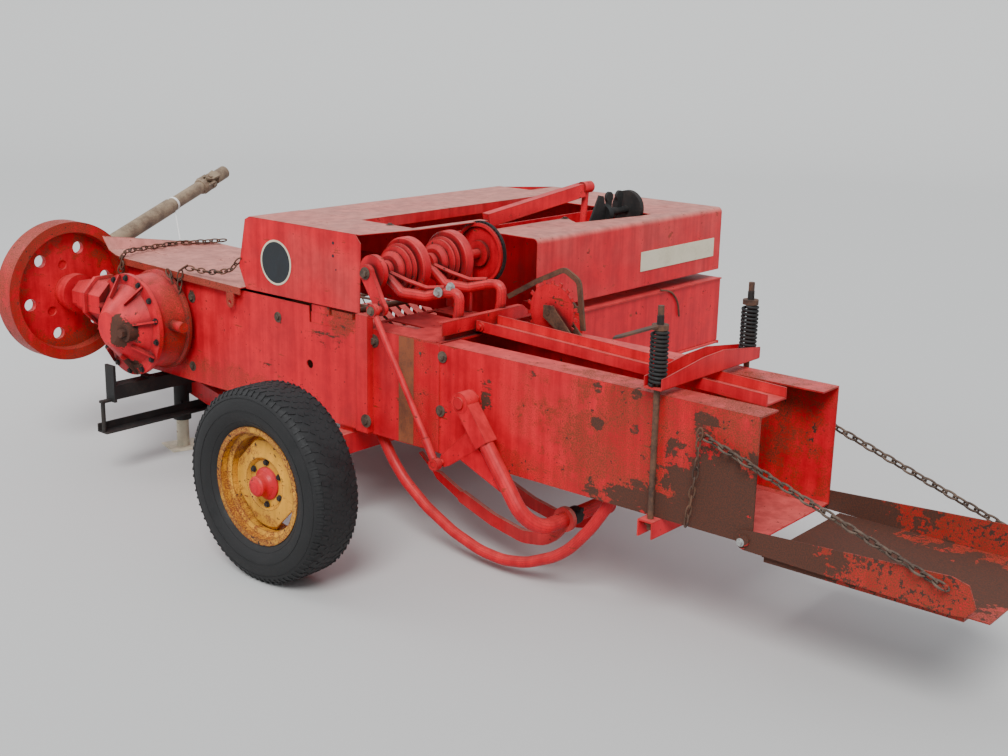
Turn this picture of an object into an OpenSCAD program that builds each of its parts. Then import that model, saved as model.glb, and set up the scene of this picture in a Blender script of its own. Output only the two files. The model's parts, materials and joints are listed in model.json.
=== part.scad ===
// Small square hay baler, parked on its jack with the tongue in transport position.
// Frame: +Z up, -Y forward (towards the tractor), +X to the machine's left.
// The origin lies on the ground below the middle of the machine's outline.
// Inside on_frame() x = 0 is the outer left face of the bale chamber.

/* [Bale chamber] */
// Outside width of the bale chamber
chamber_w = 490; // [470:5:520]
// Underside of the bale chamber above the ground
chamber_z = 401; // [395:1:410]
// Height of the rear side panels
chamber_h = 398; // [385:1:405]
// Thickness of the chamber sheets
wall_t = 5; // [4:0.5:6]
// Rear end of the bale chamber
chamber_rear_y = 1887; // [1850:1:1900]
// Front end of the plunger housing
housing_front_y = -1215; // [-1230:5:-1200]
// Where the housing sheet laps over the rear panels
lap_y = 255; // [245:5:265]
// Height of the plunger housing
housing_h = 437; // [430:1:440]
// Inward top flange of the rear panels
flange_w = 106; // [90:2:115]
// Front and rear edges of the feed opening
feed_y0 = -360; // [-370:5:-340]
feed_y1 = 150; // [140:5:160]

/* [Hoods] */
// Height of the hood top
hood_z = 1134; // [1130:1:1140]
// Top of the feeder hood
feeder_top_z = 1095; // [1090:1:1105]
// Lower edge of the feeder hood
feeder_low_z = 816; // [810:1:822]
// Rear face of the feeder hood
feeder_rear_y = 559; // [550:1:565]
// Right end of the feeder hood, from the chamber's left face
feeder_right = 1915; // [1905:5:1925]
// Left end of the feeder hood
feeder_left = 600; // [590:5:620]
// Sheet thickness of hoods and covers
sheet_t = 3; // [2.5:0.5:4]

/* [Wheels] */
// Tyre outside radius
tyre_r = 345; // [340:1:350]
// Tyre section width
tyre_w = 205; // [190:1:210]
// Rim flange radius
rim_r = 208.5; // [205:0.5:212]
// Rim width over the flanges
rim_w = 150; // [140:1:155]
// Outer face of the left rim
rim_x = 575; // [570:1:585]
// Spindle radius
spindle_r = 22; // [20:0.5:24]
// Axle line of the left wheel
left_wheel_y = 304; // [295:1:310]
// Middle of the right wheel, from the chamber's left face
right_wheel_x = -1760; // [-1770:1:-1750]
right_wheel_y = -20; // [-25:1:-15]

/* [Drive line] */
// Flywheel radius
flywheel_r = 300; // [290:1:305]
// Flywheel thickness
flywheel_w = 100; // [90:1:105]
// Centre of the flywheel and of the gearbox shaft
drive_x = 155; // [150:1:160]
drive_z = 713; // [705:1:720]
// Rear face of the flywheel
flywheel_y = -1400; // [-1410:1:-1395]
// Gearbox drum radius
drum_r = 210; // [200:1:215]
// Centre of the drum
drum_y = -950; // [-955:1:-945]
drum_z = 645; // [640:1:650]

/* [Knotters and needles] */
// Centre of the knotter shaft
knotter_y = 310; // [305:1:315]
knotter_z = 1015; // [1010:1:1018]
// Crank radius of the knotter shaft
crank_r = 140; // [138:1:142]
// Needle yoke pivot
yoke_y = 790; // [786:1:794]
yoke_z = 639; // [635:1:643]
// Middle planes of the two needles, from the chamber's left face
needle_x = [-130, -360];
// Knotter shaft radius
knotter_shaft_r = 19; // [17:0.5:20]

/* [Tongue and jack] */
// Tongue pivot, from the chamber's left face
tongue_x = -50; // [-60:1:-40]
tongue_y = -400; // [-410:1:-390]
// Middle height of the tongue at its pivot
tongue_z = 280; // [276:1:284]
// Length of the tongue from its pivot to the hitch pin
tongue_len = 2290; // [2270:5:2310]
// Transport angle of the tongue, towards the machine's right
tongue_angle = 16.5; // [15:0.1:17]
// Hitch pin hole radius
hitch_r = 14; // [12:0.5:16]
// Hitch height
hitch_z = 440; // [430:1:450]

/* [Pickup] */
// Centre of the pickup reel
reel_y = -950; // [-955:1:-945]
reel_z = 380; // [376:1:384]
// Tine tip radius
tine_r = 190; // [180:1:195]
// Left and right pickup end plates, from the chamber's left face
pickup_left = -575; // [-580:1:-570]
pickup_right = -1900; // [-1905:1:-1895]
// Pickup lift pivot
lift_y = -520; // [-525:1:-515]
lift_z = 560; // [555:1:565]

/* [Hidden] */
$fn = 48;

red = [0.75, 0.1, 0.12];
faded = [0.8, 0.35, 0.35];
dark = [0.15, 0.13, 0.13];
rusty = [0.4, 0.25, 0.18];
yellow = [0.85, 0.6, 0.15];
cream = [0.8, 0.78, 0.65];

// Outer left face of the bale chamber in the machine's frame
chamber_x = 640;
// Running clearance of a pin in its hole
pin_gap = 0.3;
// Free space between pieces that move past each other
move_gap = 6;
chamber_top = chamber_z + chamber_h;
housing_top = chamber_z + housing_h;
feeder_floor_z = chamber_z + wall_t;

module on_frame() {
  translate([chamber_x, 0, 0]) children();
}

// A plate whose outline lies in the y-z plane, from x to x + t
module plate_x(x, t) {
  translate([x, 0, 0]) rotate([90, 0, 90]) linear_extrude(t) children();
}

// A plate whose outline lies in the x-z plane, from y to y + t
module plate_y(y, t) {
  translate([0, y + t, 0]) rotate([90, 0, 0]) linear_extrude(t) children();
}

// A plate whose outline lies in the x-y plane, from z to z + t
module plate_z(z, t) {
  translate([0, 0, z]) linear_extrude(t) children();
}

// A box between two corners
module block(a, b) {
  translate(a) cube(b - a);
}

// A round bar between two points
module bar(a, b, r) {
  d = b - a;
  translate(a) rotate([0, acos(d[2] / norm(d)), atan2(d[1], d[0])]) cylinder(h = norm(d), r = r);
}

// A round bar along x
module pin_x(x0, x1, y, z, r) {
  translate([x0, y, z]) rotate([0, 90, 0]) cylinder(h = x1 - x0, r = r);
}

// A square bar between two points, h high and w wide
module strut(a, b, h, w) {
  d = b - a;
  translate(a) rotate([0, acos(d[2] / norm(d)), atan2(d[1], d[0])])
    translate([-h / 2, -w / 2, 0]) cube([h, w, norm(d)]);
}

function unit(v) = v / norm(v);

// The points of a round bend at an inner point of a path
function bend_points(p, i, r, n) =
  let (
    u = unit(p[i] - p[i - 1]),
    v = unit(p[i + 1] - p[i]),
    t = acos(u * v),
    start = p[i] - u * r * tan(t / 2),
    side = unit(v - u * (u * v))
  )
  [for (k = [0 : n]) let (a = t * k / n) start + u * r * sin(a) + side * r * (1 - cos(a))];
function smooth_path(p, r, n) =
  concat([p[0]], [for (i = [1 : len(p) - 2]) each bend_points(p, i, r, n)], [p[len(p) - 1]]);
function heading(p, i) = unit(p[min(i + 1, len(p) - 1)] - p[max(i - 1, 0)]);

// A tube along a bent path; ref is a direction that the path never takes
module bent_tube(p, bend, r, ref, n = 4, sides = 16) {
  path = smooth_path(p, bend, n);
  last = len(path) - 1;
  points = [for (i = [0 : last]) let (t = heading(path, i), b = unit(ref - t * (ref * t)), c = cross(b, t))
    for (k = [0 : sides - 1]) let (a = 360 * k / sides) path[i] + r * (sin(a) * b + cos(a) * c)];
  skin = [for (i = [0 : last - 1]) for (k = [0 : sides - 1])
    let (a = i * sides, b = a + sides, m = (k + 1) % sides)
    each [[a + k, b + k, b + m], [a + k, b + m, a + m]]];
  ends = [[for (k = [0 : sides - 1]) k], [for (k = [sides - 1 : -1 : 0]) last * sides + k]];
  polyhedron(points, concat(skin, ends));
}

// A flat strip of width w along a path of [y, z] points, tapered from w0 over its first third
module strip(p, bend, w, w0) {
  path = smooth_path(p, bend, 4);
  last = len(path) - 1;
  side = [for (i = [0 : last]) let (t = heading(path, i), half = min(w, w0 + (w - w0) * 3 * i / last) / 2)
    [-t[1], t[0]] * half];
  polygon(concat([for (i = [0 : last]) path[i] + side[i]], [for (i = [last : -1 : 0]) path[i] - side[i]]));
}

// A thin sheet between two edges at x0 and x1, which are lists of [y, z] points
module ruled_sheet(x0, e0, x1, e1, t) {
  n = len(e0);
  points = concat(
    [for (p = e0) [x0, p[0], p[1]]], [for (p = e1) [x1, p[0], p[1]]],
    [for (p = e0) [x0, p[0], p[1] - t]], [for (p = e1) [x1, p[0], p[1] - t]]
  );
  long = [for (i = [0 : n - 2]) each [
    [i, n + i, n + i + 1], [i, n + i + 1, i + 1],
    [2 * n + i, 3 * n + i + 1, 3 * n + i], [2 * n + i, 2 * n + i + 1, 3 * n + i + 1],
    [i, i + 1, 2 * n + i + 1], [i, 2 * n + i + 1, 2 * n + i],
    [n + i, 3 * n + i + 1, n + i + 1], [n + i, 3 * n + i, 3 * n + i + 1]
  ]];
  ends = [
    [0, 2 * n, 3 * n], [0, 3 * n, n],
    [n - 1, 2 * n - 1, 4 * n - 1], [n - 1, 4 * n - 1, 3 * n - 1]
  ];
  polyhedron(points, concat(long, ends));
}

// Bale chamber

yoke_x = 60;
yoke_pin_r = 12;
chute_pin = [chamber_rear_y - 20, chamber_z + 13];
chute_pin_r = 9.7;
chain_hook = [chamber_rear_y - 177, chamber_top - 90];
meter_y = 770;
meter_z = 876;
rear_side = [
  [lap_y, chamber_z], [chamber_rear_y, chamber_z], [chamber_rear_y, chamber_top], [lap_y, chamber_top]
];

module side_wall() {
  plate_x(0, wall_t) polygon(rear_side);
  block([-flange_w + wall_t, bar_y1 + 0.3, chamber_top - wall_t], [wall_t, chamber_rear_y, chamber_top]);
  block([-40 + wall_t, lap_y, chamber_z], [wall_t, chamber_rear_y, chamber_z + wall_t]);
}

// Pins that stand out of a side wall: yoke pivot, chute hinge and chain hook
module wall_pins() {
  pin_x(-1, yoke_x + 36, yoke_y, yoke_z, yoke_pin_r);
  pin_x(yoke_x + 30.3, yoke_x + 38, yoke_y, yoke_z, 21);
  pin_x(-1, 16, chute_pin[0], chute_pin[1], chute_pin_r);
  pin_x(8.3, 16, chute_pin[0], chute_pin[1], 17);
  pin_x(-1, 34, chain_hook[0], chain_hook[1], 8);
}

module chamber_left_wall() color(red) on_frame() {
  translate([-wall_t, 0, 0]) side_wall();
  wall_pins();
  // Vertical post channel beside the lap
  block([0, 225, chamber_z + 7], [30, 285, 850]);
}

module chamber_right_wall() color(red) on_frame() {
  translate([-chamber_w + wall_t, 0, 0]) mirror([1, 0, 0]) difference() {
    side_wall();
    // Slot for the metering wheel
    block([-54 - 9, meter_y - 100, chamber_top - 10], [-54 + 9, meter_y + 100, chamber_top + 1]);
  }
  translate([-chamber_w, 0, 0]) mirror([1, 0, 0]) wall_pins();
}

floor_t = 5;
needle_slot_w = 44;
needle_slot_y = [262, 452];

module chamber_floor() color(red) on_frame() difference() {
  block([-chamber_w + 41, housing_front_y + 20, chamber_z], [-41, chamber_rear_y, chamber_z + floor_t]);
  for (x = needle_x)
    block([x - needle_slot_w / 2, needle_slot_y[0], chamber_z - 1],
      [x + needle_slot_w / 2, needle_slot_y[1], chamber_z + floor_t + 1]);
}

// Height of the housing's top edge, which falls a little towards the rear
housing_fall = 8;
function housing_edge(y) = housing_top - housing_fall * (y - housing_front_y) / (190 - housing_front_y);

// Side sheets of the plunger housing, closed in front; the left one steps down behind its lap
housing_step_y = -60;
housing_low_z = 770;
left_side = [
  [housing_front_y, chamber_z], [lap_y - 1, chamber_z], [lap_y - 1, housing_low_z],
  [housing_step_y + 4, housing_low_z], [housing_step_y, housing_edge(housing_step_y)],
  [housing_front_y, housing_top]
];
// The right one rises behind the feeder's left end
right_side = [
  [housing_front_y, chamber_z], [lap_y - 1, chamber_z], [lap_y - 1, chamber_top], [200, chamber_top],
  [190, chamber_top + 160], [-430, chamber_top + 160], [-432, housing_edge(-432)],
  [housing_front_y, housing_top]
];

module plunger_housing() color(red) on_frame() {
  difference() {
    plate_x(-wall_t, wall_t) polygon(left_side);
    pin_x(-wall_t - 1, 1, -58, 605, 17);
  }
  difference() {
    plate_x(-chamber_w, wall_t) polygon(right_side);
    block([-chamber_w - 1, feed_y0, feeder_floor_z + 30], [-chamber_w + wall_t + 1, feed_y1, 780]);
  }
  block([-chamber_w + wall_t, housing_front_y, chamber_z + 10],
    [-wall_t, housing_front_y + 6, housing_top - 1]);
  block([-40, housing_front_y + 20, chamber_z], [-wall_t, lap_y - 1, chamber_z + floor_t]);
  block([-chamber_w + wall_t, housing_front_y + 20, chamber_z],
    [-chamber_w + 40, lap_y - 1, chamber_z + floor_t]);
  // Rail behind the step, with the castings of the needle latch on it
  block([-22, housing_step_y + 8, housing_low_z - 20], [-4, 209, chamber_top + 12]);
  block([-30, housing_step_y + 10, chamber_top + 6], [-6, 46, chamber_top + 41]);
  block([-34, 58, chamber_top + 4], [-8, 168, chamber_top + 34]);
}

// Front and rear face of the cross bar behind the knotters
bar_y0 = 592;
bar_y1 = 618;
bar_top = chamber_top + 74;

module knotter_table() color(red) on_frame() {
  // Top sheet under the knotters, with a slot for each needle
  difference() {
    block([-chamber_w + wall_t, 210, chamber_top - wall_t], [-wall_t, bar_y0, chamber_top]);
    for (x = needle_x)
      block([x - needle_slot_w / 2, 232, chamber_top - 10], [x + needle_slot_w / 2, 400, chamber_top + 1]);
  }
  // Folded cross bar behind the knotters, its right end cut off slantwise, on a set-back foot
  block([-chamber_w + wall_t, bar_y0, chamber_top - wall_t], [-wall_t, bar_y1, chamber_top + 4]);
  block([-chamber_w + 50, bar_y0 + 4, chamber_top + 3], [-40, bar_y0 + 10, chamber_top + 30]);
  plate_y(bar_y1 - 4, 4) polygon([[-10, chamber_top + 25], [-10, bar_top], [-chamber_w + 40, bar_top],
    [-chamber_w - 25, chamber_top + 25]]);
  block([-chamber_w + 42, bar_y0, bar_top - 4], [-10, bar_y1, bar_top]);
  block([-chamber_w + 50, bar_y0 + 4, chamber_top + 26], [-40, bar_y1, chamber_top + 30]);
}

// Covers

// Left and right edge of the deck; its front curls up at the left corner
deck_left = [[-1355, 946], [-1310, 892], [-1262, 875], [-1200, 868], [-434, 850]];
deck_right = [[-1228, 870], [-1222, 869], [-1212, 868], [-1200, 868], [-434, 850]];

module deck() color(faded) on_frame() {
  ruled_sheet(25, deck_left, -chamber_w - 20, deck_right, 4);
  // Turned down side lips
  for (x = [22, -chamber_w - 20])
    plate_x(x, sheet_t) polygon([[-1225, 840], [-434, 821], [-434, 848], [-1225, 867]]);
  // Seats on the housing's top edges
  for (x = [-30, -chamber_w + 2]) plate_x(x, 28)
    polygon([[-1190, housing_edge(-1190) + 0.3], [-500, housing_edge(-500) + 0.3],
      [-500, 849], [-1190, 866]]);
}

hood_side = [[-464, 930], [-423, 1120], [-396, 1134], [193, 1134], [223, 1102], [216, 845], [-424, 845]];
hood_top_x = -260;

module knotter_hood() color(red) on_frame() {
  plate_x(-sheet_t, sheet_t) polygon(hood_side);
  plate_z(hood_z - sheet_t, sheet_t)
    polygon([[-sheet_t, -396], [-sheet_t, 215], [hood_top_x, 270], [-feeder_left - 20, 290],
      [-feeder_left - 20, 250], [hood_top_x, 232], [hood_top_x, -90], [hood_top_x, -396]]);
  plate_x(hood_top_x, -hood_top_x - sheet_t)
    polygon([[-424, 850], [-464, 930], [-423, 1120], [-396, 1134],
      [-396, 1131], [-420, 1118], [-461, 930], [-421, 850]]);
}

// Sheet outline of the rear hood: a rear face, a round top edge and a top
module hood_outline(y0, y1, z0, z1, r, t) {
  difference() {
    union() {
      translate([y0, z0]) square([y1 - y0 - r, z1 - z0]);
      translate([y0, z0]) square([y1 - y0, z1 - z0 - r]);
      translate([y1 - r, z1 - r]) circle(r);
    }
    translate([y0 - 1, z0 - 1]) square([y1 - y0 - r + 1, z1 - z0 - t + 1]);
    translate([y0 - 1, z0 - 1]) square([y1 - y0 - t + 1, z1 - z0 - r + 1]);
    translate([y1 - r, z1 - r]) circle(r - t);
  }
}

module feeder_hood() color(red) on_frame() {
  difference() {
    plate_x(-feeder_right, feeder_right - feeder_left)
      hood_outline(290, feeder_rear_y, feeder_low_z, feeder_top_z, 22, sheet_t);
    plate_z(feeder_top_z - 10, 20)
      polygon([[-1045, 400], [-1129, 280], [-1499, 280], [-1490, 467], [-1419, 467]]);
  }
  // Right end panel
  plate_x(-feeder_right, sheet_t) polygon([[-400, feeder_low_z], [feeder_rear_y - 2, feeder_low_z],
    [feeder_rear_y - 2, feeder_top_z - 22], [feeder_rear_y - 8, feeder_top_z - 8],
    [feeder_rear_y - 22, feeder_top_z - 2], [-400, feeder_top_z - 2]]);
  // Front strip and front wall above the intake
  block([-feeder_right, -400, feeder_top_z - sheet_t], [-1500, 291, feeder_top_z]);
  plate_x(-1500, 1500 + hood_top_x) polygon([[-400, 1128], [-60, 1128], [-60, 1090], [-57, 1090],
    [-57, 1131], [-403, 1131], [-421, 1118], [-440, 880], [-437, 880], [-418, 1116]]);
  plate_y(-403, sheet_t)
    polygon([[-1500, 880], [-1500, 1128], [-feeder_right, feeder_top_z], [-feeder_right, 880]]);
}

floor_right = -1630;
packer_shelf_z = 998;
packer_post_z = 1084;

module feeder_floor() color(red) on_frame() {
  // Feeder floor, rear wall and right end wall
  plate_z(chamber_z, floor_t) polygon([[-chamber_w - 1, -560], [-chamber_w - 1, 165], [floor_right, 165],
    [floor_right, -385], [-1905, -385], [-1905, -560]]);
  block([floor_right, 160, chamber_z + floor_t], [-chamber_w - 1, 165, 1080]);
  block([floor_right, -385, chamber_z + floor_t], [floor_right + 5, 160, 1080]);
  block([-1905, -390, chamber_z + floor_t], [floor_right + 5, -385, 1080]);
  // Side posts of the intake that carry the pickup pivots
  for (x = [-chamber_w - 46, -1905]) block([x, -560, chamber_z + floor_t - 1], [x + 8, -405, 875]);
  pin_x(pickup_left - 6, -chamber_w - 40, lift_y, lift_z, 15);
  pin_x(-1900, pickup_right + 32, lift_y, lift_z, 15);
  block([-1905, -470, 875], [-chamber_w - 38, -405, 880]);
  // Arms that carry the twine box
  for (x = [-1040, -1600]) block([x, 162, 690], [x + 40, box_front_y - 0.3, 740]);
  // Shelf and bracket behind the rear wall that carry the packer's drive
  block([-1560, 162, packer_shelf_z - 8], [-1190, 400, packer_shelf_z]);
  block([-720, 162, packer_post_z - 12], [-680, 250, packer_post_z - 4]);
}

box_left = -880;
box_right = -1910;
box_z = 476;
box_top = 779;
box_front_y = 345;
box_rear_y = 572;

door_pin = [box_rear_y + 7, box_z + 6];

module twine_box() color(red) on_frame() {
  difference() {
    block([box_right, box_front_y, box_z], [box_left, box_rear_y, box_top]);
    block([box_right + sheet_t, box_front_y + sheet_t, box_z + sheet_t],
      [box_left - sheet_t, box_rear_y + 1, box_top - sheet_t]);
  }
  // Rolled upper edge over the door
  block([box_right, box_rear_y - 4, box_top - 5], [box_left, box_rear_y + 10, box_top + 1]);
  // Hinge ears with their pins
  for (x = [box_right, box_left - 10]) {
    block([x, box_rear_y - 1, box_z], [x + 10, box_rear_y + 14, box_z + 13]);
    // The pin reaches inwards from its ear
    inward = x == box_right ? 0 : -15;
    pin_x(x + inward, x + inward + 25, door_pin[0], door_pin[1], 2.2);
  }
}

module twine_door() color(red) on_frame() difference() {
  union() {
    block([box_right, box_rear_y + 0.3, box_z + 16], [box_left, box_rear_y + 0.3 + sheet_t, box_top - 7]);
    block([box_right + 11, box_rear_y + 1, box_z + 6],
      [box_left - 11, box_rear_y + 0.3 + sheet_t, box_z + 17]);
    // Hinge barrel along the lower edge
    pin_x(box_right + 11, box_left - 11, door_pin[0], door_pin[1], 6);
  }
  pin_x(box_right - 1, box_left + 1, door_pin[0], door_pin[1], 2.5);
}

// Running gear

axle_y = 120;
axle_z = 335;
axle_half = 40;

module axle() color(red) on_frame() {
  block([-1600, axle_y - axle_half, axle_z - axle_half], [385, axle_y + axle_half, axle_z + axle_half]);
  // Drop plates that carry the spindles
  block([360, axle_y - 40, axle_z - 50], [385, left_wheel_y + 50, axle_z + 50]);
  block([-1625, right_wheel_y - 50, axle_z - 50], [-1600, axle_y + 40, axle_z + 50]);
  pin_x(380, left_mid + 60, left_wheel_y, tyre_r, spindle_r);
  pin_x(right_wheel_x - 60, -1620, right_wheel_y, tyre_r, spindle_r);
  // Saddles under the chamber and the feeder floor
  for (x = [-60, -470, -1500])
    block([x, axle_y - 35, axle_z + axle_half], [x + 40, axle_y + 35, chamber_z - 0.3]);
}

function tyre_half() = tyre_w / 2;

// Tyre section, seated around the rim
module tyre_body() rotate([0, 90, 0]) rotate_extrude($fn = 96) polygon([
  [193, -70], [rim_r + 0.5, -70], [rim_r + 1, -78], [222, -86], [250, -tyre_half() + 2],
  [280, -tyre_half()], [310, -94], [332, -84], [343, -70], [tyre_r, -40], [tyre_r, 40], [343, 70],
  [332, 84], [310, 94], [280, tyre_half()], [250, tyre_half() - 2], [222, 86], [rim_r + 1, 78],
  [rim_r + 0.5, 70], [193, 70]
]);

// Rim with drop centre and a dished disc that has four flats; its outer face is at +x
module rim_body() rotate([0, 90, 0]) difference() {
  rotate_extrude($fn = 96) polygon([
    [rim_r, 75], [rim_r, 71], [192, 71], [190, 45], [172, 38], [172, -38], [190, -45], [192, -71],
    [rim_r, -71],
    [rim_r, -75], [188, -75], [186, -48], [168, -41], [168, 5], [150, 24], [95, 32], [86, 18], [46, 18],
    [46, 24], [83, 24], [93, 38], [153, 30], [168, 14], [168, 41], [186, 48], [188, 75]
  ]);
  for (a = [45 : 90 : 315]) rotate([0, 0, a]) intersection() {
    translate([140, -110, -2]) cube([40, 220, 60]);
    cylinder(h = 60, r = 168.6, $fn = 96);
  }
  for (a = [0 : 60 : 300]) rotate([0, 0, a]) translate([75, 0, 10]) cylinder(h = 20, r = 6.5, $fn = 16);
}

// Hub turning on the spindle, with its flange behind the disc, a flared collar and a closed cap
module hub_body() rotate([0, 90, 0]) difference() {
  rotate_extrude() polygon([
    [0, -50], [40, -50], [40, 8], [84, 8], [84, 17.7], [40, 17.7], [40, 24.3], [58, 24.3], [57, 30], [46, 38],
    [39, 48], [36, 56], [36, 72], [31, 79], [18, 84], [0, 85]
  ]);
  translate([0, 0, -51]) cylinder(h = 117, r = spindle_r + pin_gap);
}

left_mid = rim_x - rim_w / 2;

module at_left_wheel() on_frame() translate([left_mid, left_wheel_y, tyre_r]) children();
module at_right_wheel() on_frame()
  translate([right_wheel_x, right_wheel_y, tyre_r]) rotate([0, 0, 180]) children();

module left_rim() color(yellow) at_left_wheel() rim_body();
module left_tyre() color(dark) at_left_wheel() tyre_body();
module left_hub() color(red) at_left_wheel() hub_body();
module right_rim() color(yellow) at_right_wheel() rim_body();
module right_tyre() color(dark) at_right_wheel() tyre_body();
module right_hub() color(red) at_right_wheel() hub_body();

// Drive

module gearbox() color(red) on_frame() {
  // Drum with its bolted flange and conical cover
  translate([0.3, drum_y, drum_z]) rotate([0, 90, 0]) rotate_extrude($fn = 96) polygon([
    [0, 0], [150, 0], [150, 29], [drum_r, 29], [drum_r, 42], [drum_r - 12, 48], [drum_r - 18, 165],
    [drum_r, 170], [drum_r, 190], [168, 194], [76, 284], [66, 290], [0, 290]
  ]);
  // Shaft end with its nut through the cover, and a stub on the drum's rear side
  translate([0.3, drum_y + 93, drum_z - 6]) rotate([0, 90, 0]) cylinder(h = 276, r = 36);
  translate([0.3, drum_y + 93, drum_z - 6]) rotate([0, 90, 0]) cylinder(h = 298, r = 19, $fn = 6);
  translate([110, drum_y + 262, drum_z + 15]) rotate([90, 0, 0]) cylinder(h = 80, r = 22);
  // Eight-sided pinion housing towards the flywheel
  translate([drive_x, drum_y - 120, drive_z]) rotate([90, 0, 0]) rotate([0, 0, 22.5])
    rotate_extrude($fn = 8) polygon([
      [0, 0], [96, 0], [96, 84], [110, 88], [110, 106], [86, 110], [80, 190], [70, 196], [70, 236], [0, 236]
    ]);
  // Input shaft through the flywheel
  translate([drive_x, drum_y - 350, drive_z]) rotate([90, 0, 0]) cylinder(h = 240, r = 25);
}

// Front face of the lower frame's beams
frame_y = housing_front_y + 185;

module front_frame() color(dark) on_frame() {
  // Upper beam, hanger plates and lower rail between which the tongue swings
  block([-420, frame_y, 332], [256, frame_y + 60, 392]);
  block([250, frame_y, 320], [262, frame_y + 60, 476]);
  block([-426, frame_y, 193], [-420, frame_y + 60, 400]);
  for (x = [-420, -60, 60]) block([x, frame_y, 392], [x + 30, frame_y + 60, chamber_z - 0.3]);
  block([-430, frame_y, 193], [308, frame_y + 60, 198]);
  block([-430, frame_y - 5, 193], [308, frame_y + 1, 228]);
  bar([300, frame_y + 30, 197], [300, frame_y + 30, 330], 9);
  block([261, frame_y + 18, 322], [310, frame_y + 42, 332]);
  // Tongue pivot plates under the housing
  difference() {
    union() {
      block([tongue_x - 90, tongue_y - 70, tongue_z + 46], [tongue_x + 90, tongue_y + 90, tongue_z + 58]);
      block([tongue_x - 90, tongue_y - 70, tongue_z - 58], [tongue_x + 90, tongue_y + 90, tongue_z - 46]);
      block([tongue_x - 90, tongue_y + 66, tongue_z - 46], [tongue_x + 90, tongue_y + 90, tongue_z + 46]);
    }
    translate([tongue_x, tongue_y, 0]) cylinder(h = 500, r = 20);
  }
  translate([tongue_x, tongue_y, tongue_z - 66]) cylinder(h = 132, r = 20);
  for (x = [tongue_x - 60, tongue_x + 40])
    block([x, tongue_y - 60, tongue_z + 57], [x + 20, tongue_y + 80, chamber_z - 0.3]);
}

// Things on the tongue are drawn along -y from its pivot
module on_tongue() {
  on_frame() translate([tongue_x, tongue_y, tongue_z]) rotate([0, 0, -tongue_angle]) children();
}

tongue_knee = 800;
jack_y = -725;
// Side of the jack's square foot
foot_w = 150;
jack_x = 78;

module drawbar() color(red) on_tongue() {
  difference() {
    union() {
      // Beam, level past the rails and then rising to the hitch
      plate_x(-40, 80) polygon([
        [48, -40], [48, 40], [-tongue_knee, 40], [-tongue_len + 90, hitch_z - tongue_z + 32],
        [-tongue_len + 90, hitch_z - tongue_z - 32], [-tongue_knee - 20, -40]
      ]);
      // Clevis ears
      for (z = [-38, 22])
        translate([0, 0, hitch_z - tongue_z + z]) linear_extrude(16) union() {
          translate([-45, -tongue_len]) square([90, 160]);
          translate([0, -tongue_len]) circle(45);
        }
    }
    translate([0, 0, -100]) cylinder(h = 200, r = 20 + pin_gap);
    translate([0, -tongue_len, hitch_z - tongue_z - 60]) cylinder(h = 120, r = hitch_r);
  }
}

module jack_tube() color(dark) on_tongue() difference() {
  union() {
    translate([jack_x, jack_y, -150]) cylinder(h = 262, r = 34);
    translate([jack_x, jack_y, -150]) cylinder(h = 40, r = 40);
    block([40.3, jack_y - 30, -30], [jack_x, jack_y + 30, 30]);
    // Cross pin that sets the height of the leg
    bar([jack_x - 20, jack_y - 55, -70], [jack_x + 20, jack_y + 55, -70], 8);
  }
  translate([jack_x, jack_y, -151]) cylinder(h = 252, r = 27.5 + 0.5);
}

module jack_leg() color(cream) on_tongue() {
  difference() {
    translate([jack_x, jack_y, -tongue_z + 5]) cylinder(h = 176, r = 27.5);
    translate([jack_x, jack_y, -90]) cylinder(h = 60, r = 22);
  }
  translate([jack_x - foot_w / 2, jack_y - foot_w / 2, -tongue_z]) cube([foot_w, foot_w, 6]);
}

module at_flywheel() on_frame() translate([drive_x, flywheel_y, drive_z]) rotate([90, 0, 0]) children();

module flywheel() color(red) at_flywheel() difference() {
  rotate_extrude($fn = 96) polygon([
    [25 + pin_gap, -58], [82, -58], [82, -16], [70, 26], [flywheel_r - 52, 38], [flywheel_r - 45, 0],
    [flywheel_r, 0], [flywheel_r, flywheel_w], [flywheel_r - 45, flywheel_w], [flywheel_r - 52, 58],
    [66, 64], [60, 108], [25 + pin_gap, 108]
  ]);
  for (a = [48 : 60 : 348]) rotate([0, 0, a]) translate([190, 0, -1])
    cylinder(h = flywheel_w + 2, r = 26, $fn = 32);
  // Round dimples in the rear face of the web
  for (a = [78 : 120 : 318]) rotate([0, 0, a]) translate([118, 0, 0])
    cylinder(h = 36, r1 = 30, r2 = 18, $fn = 24);
}

pto_a = [drive_x, -1612, drive_z];
pto_b = [-1156, -2000, 1078];
pto_dir = (pto_b - pto_a) / norm(pto_b - pto_a);
pto_side = unit(cross(pto_dir, [0, 0, 1]));
pto_lift = cross(pto_side, pto_dir);
pto_len = norm(pto_b - pto_a);
pto_tube_r = 32;

// Things on the drive shaft are drawn along z from the point s on it
module along_shaft(s, turn) {
  p = pto_a + pto_dir * s;
  multmatrix([for (i = [0 : 2]) [pto_lift[i], pto_side[i], pto_dir[i], p[i]]])
    rotate([0, 0, turn]) children();
}

// Two ears of a shaft joint around a pin at z = reach
module joint_ears(reach) {
  for (x = [-36, 24]) plate_x(x, 12) union() {
    polygon([[-26, -4], [26, -4], [20, reach], [-20, reach]]);
    translate([0, reach]) circle(23, $fn = 32);
  }
}

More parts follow.
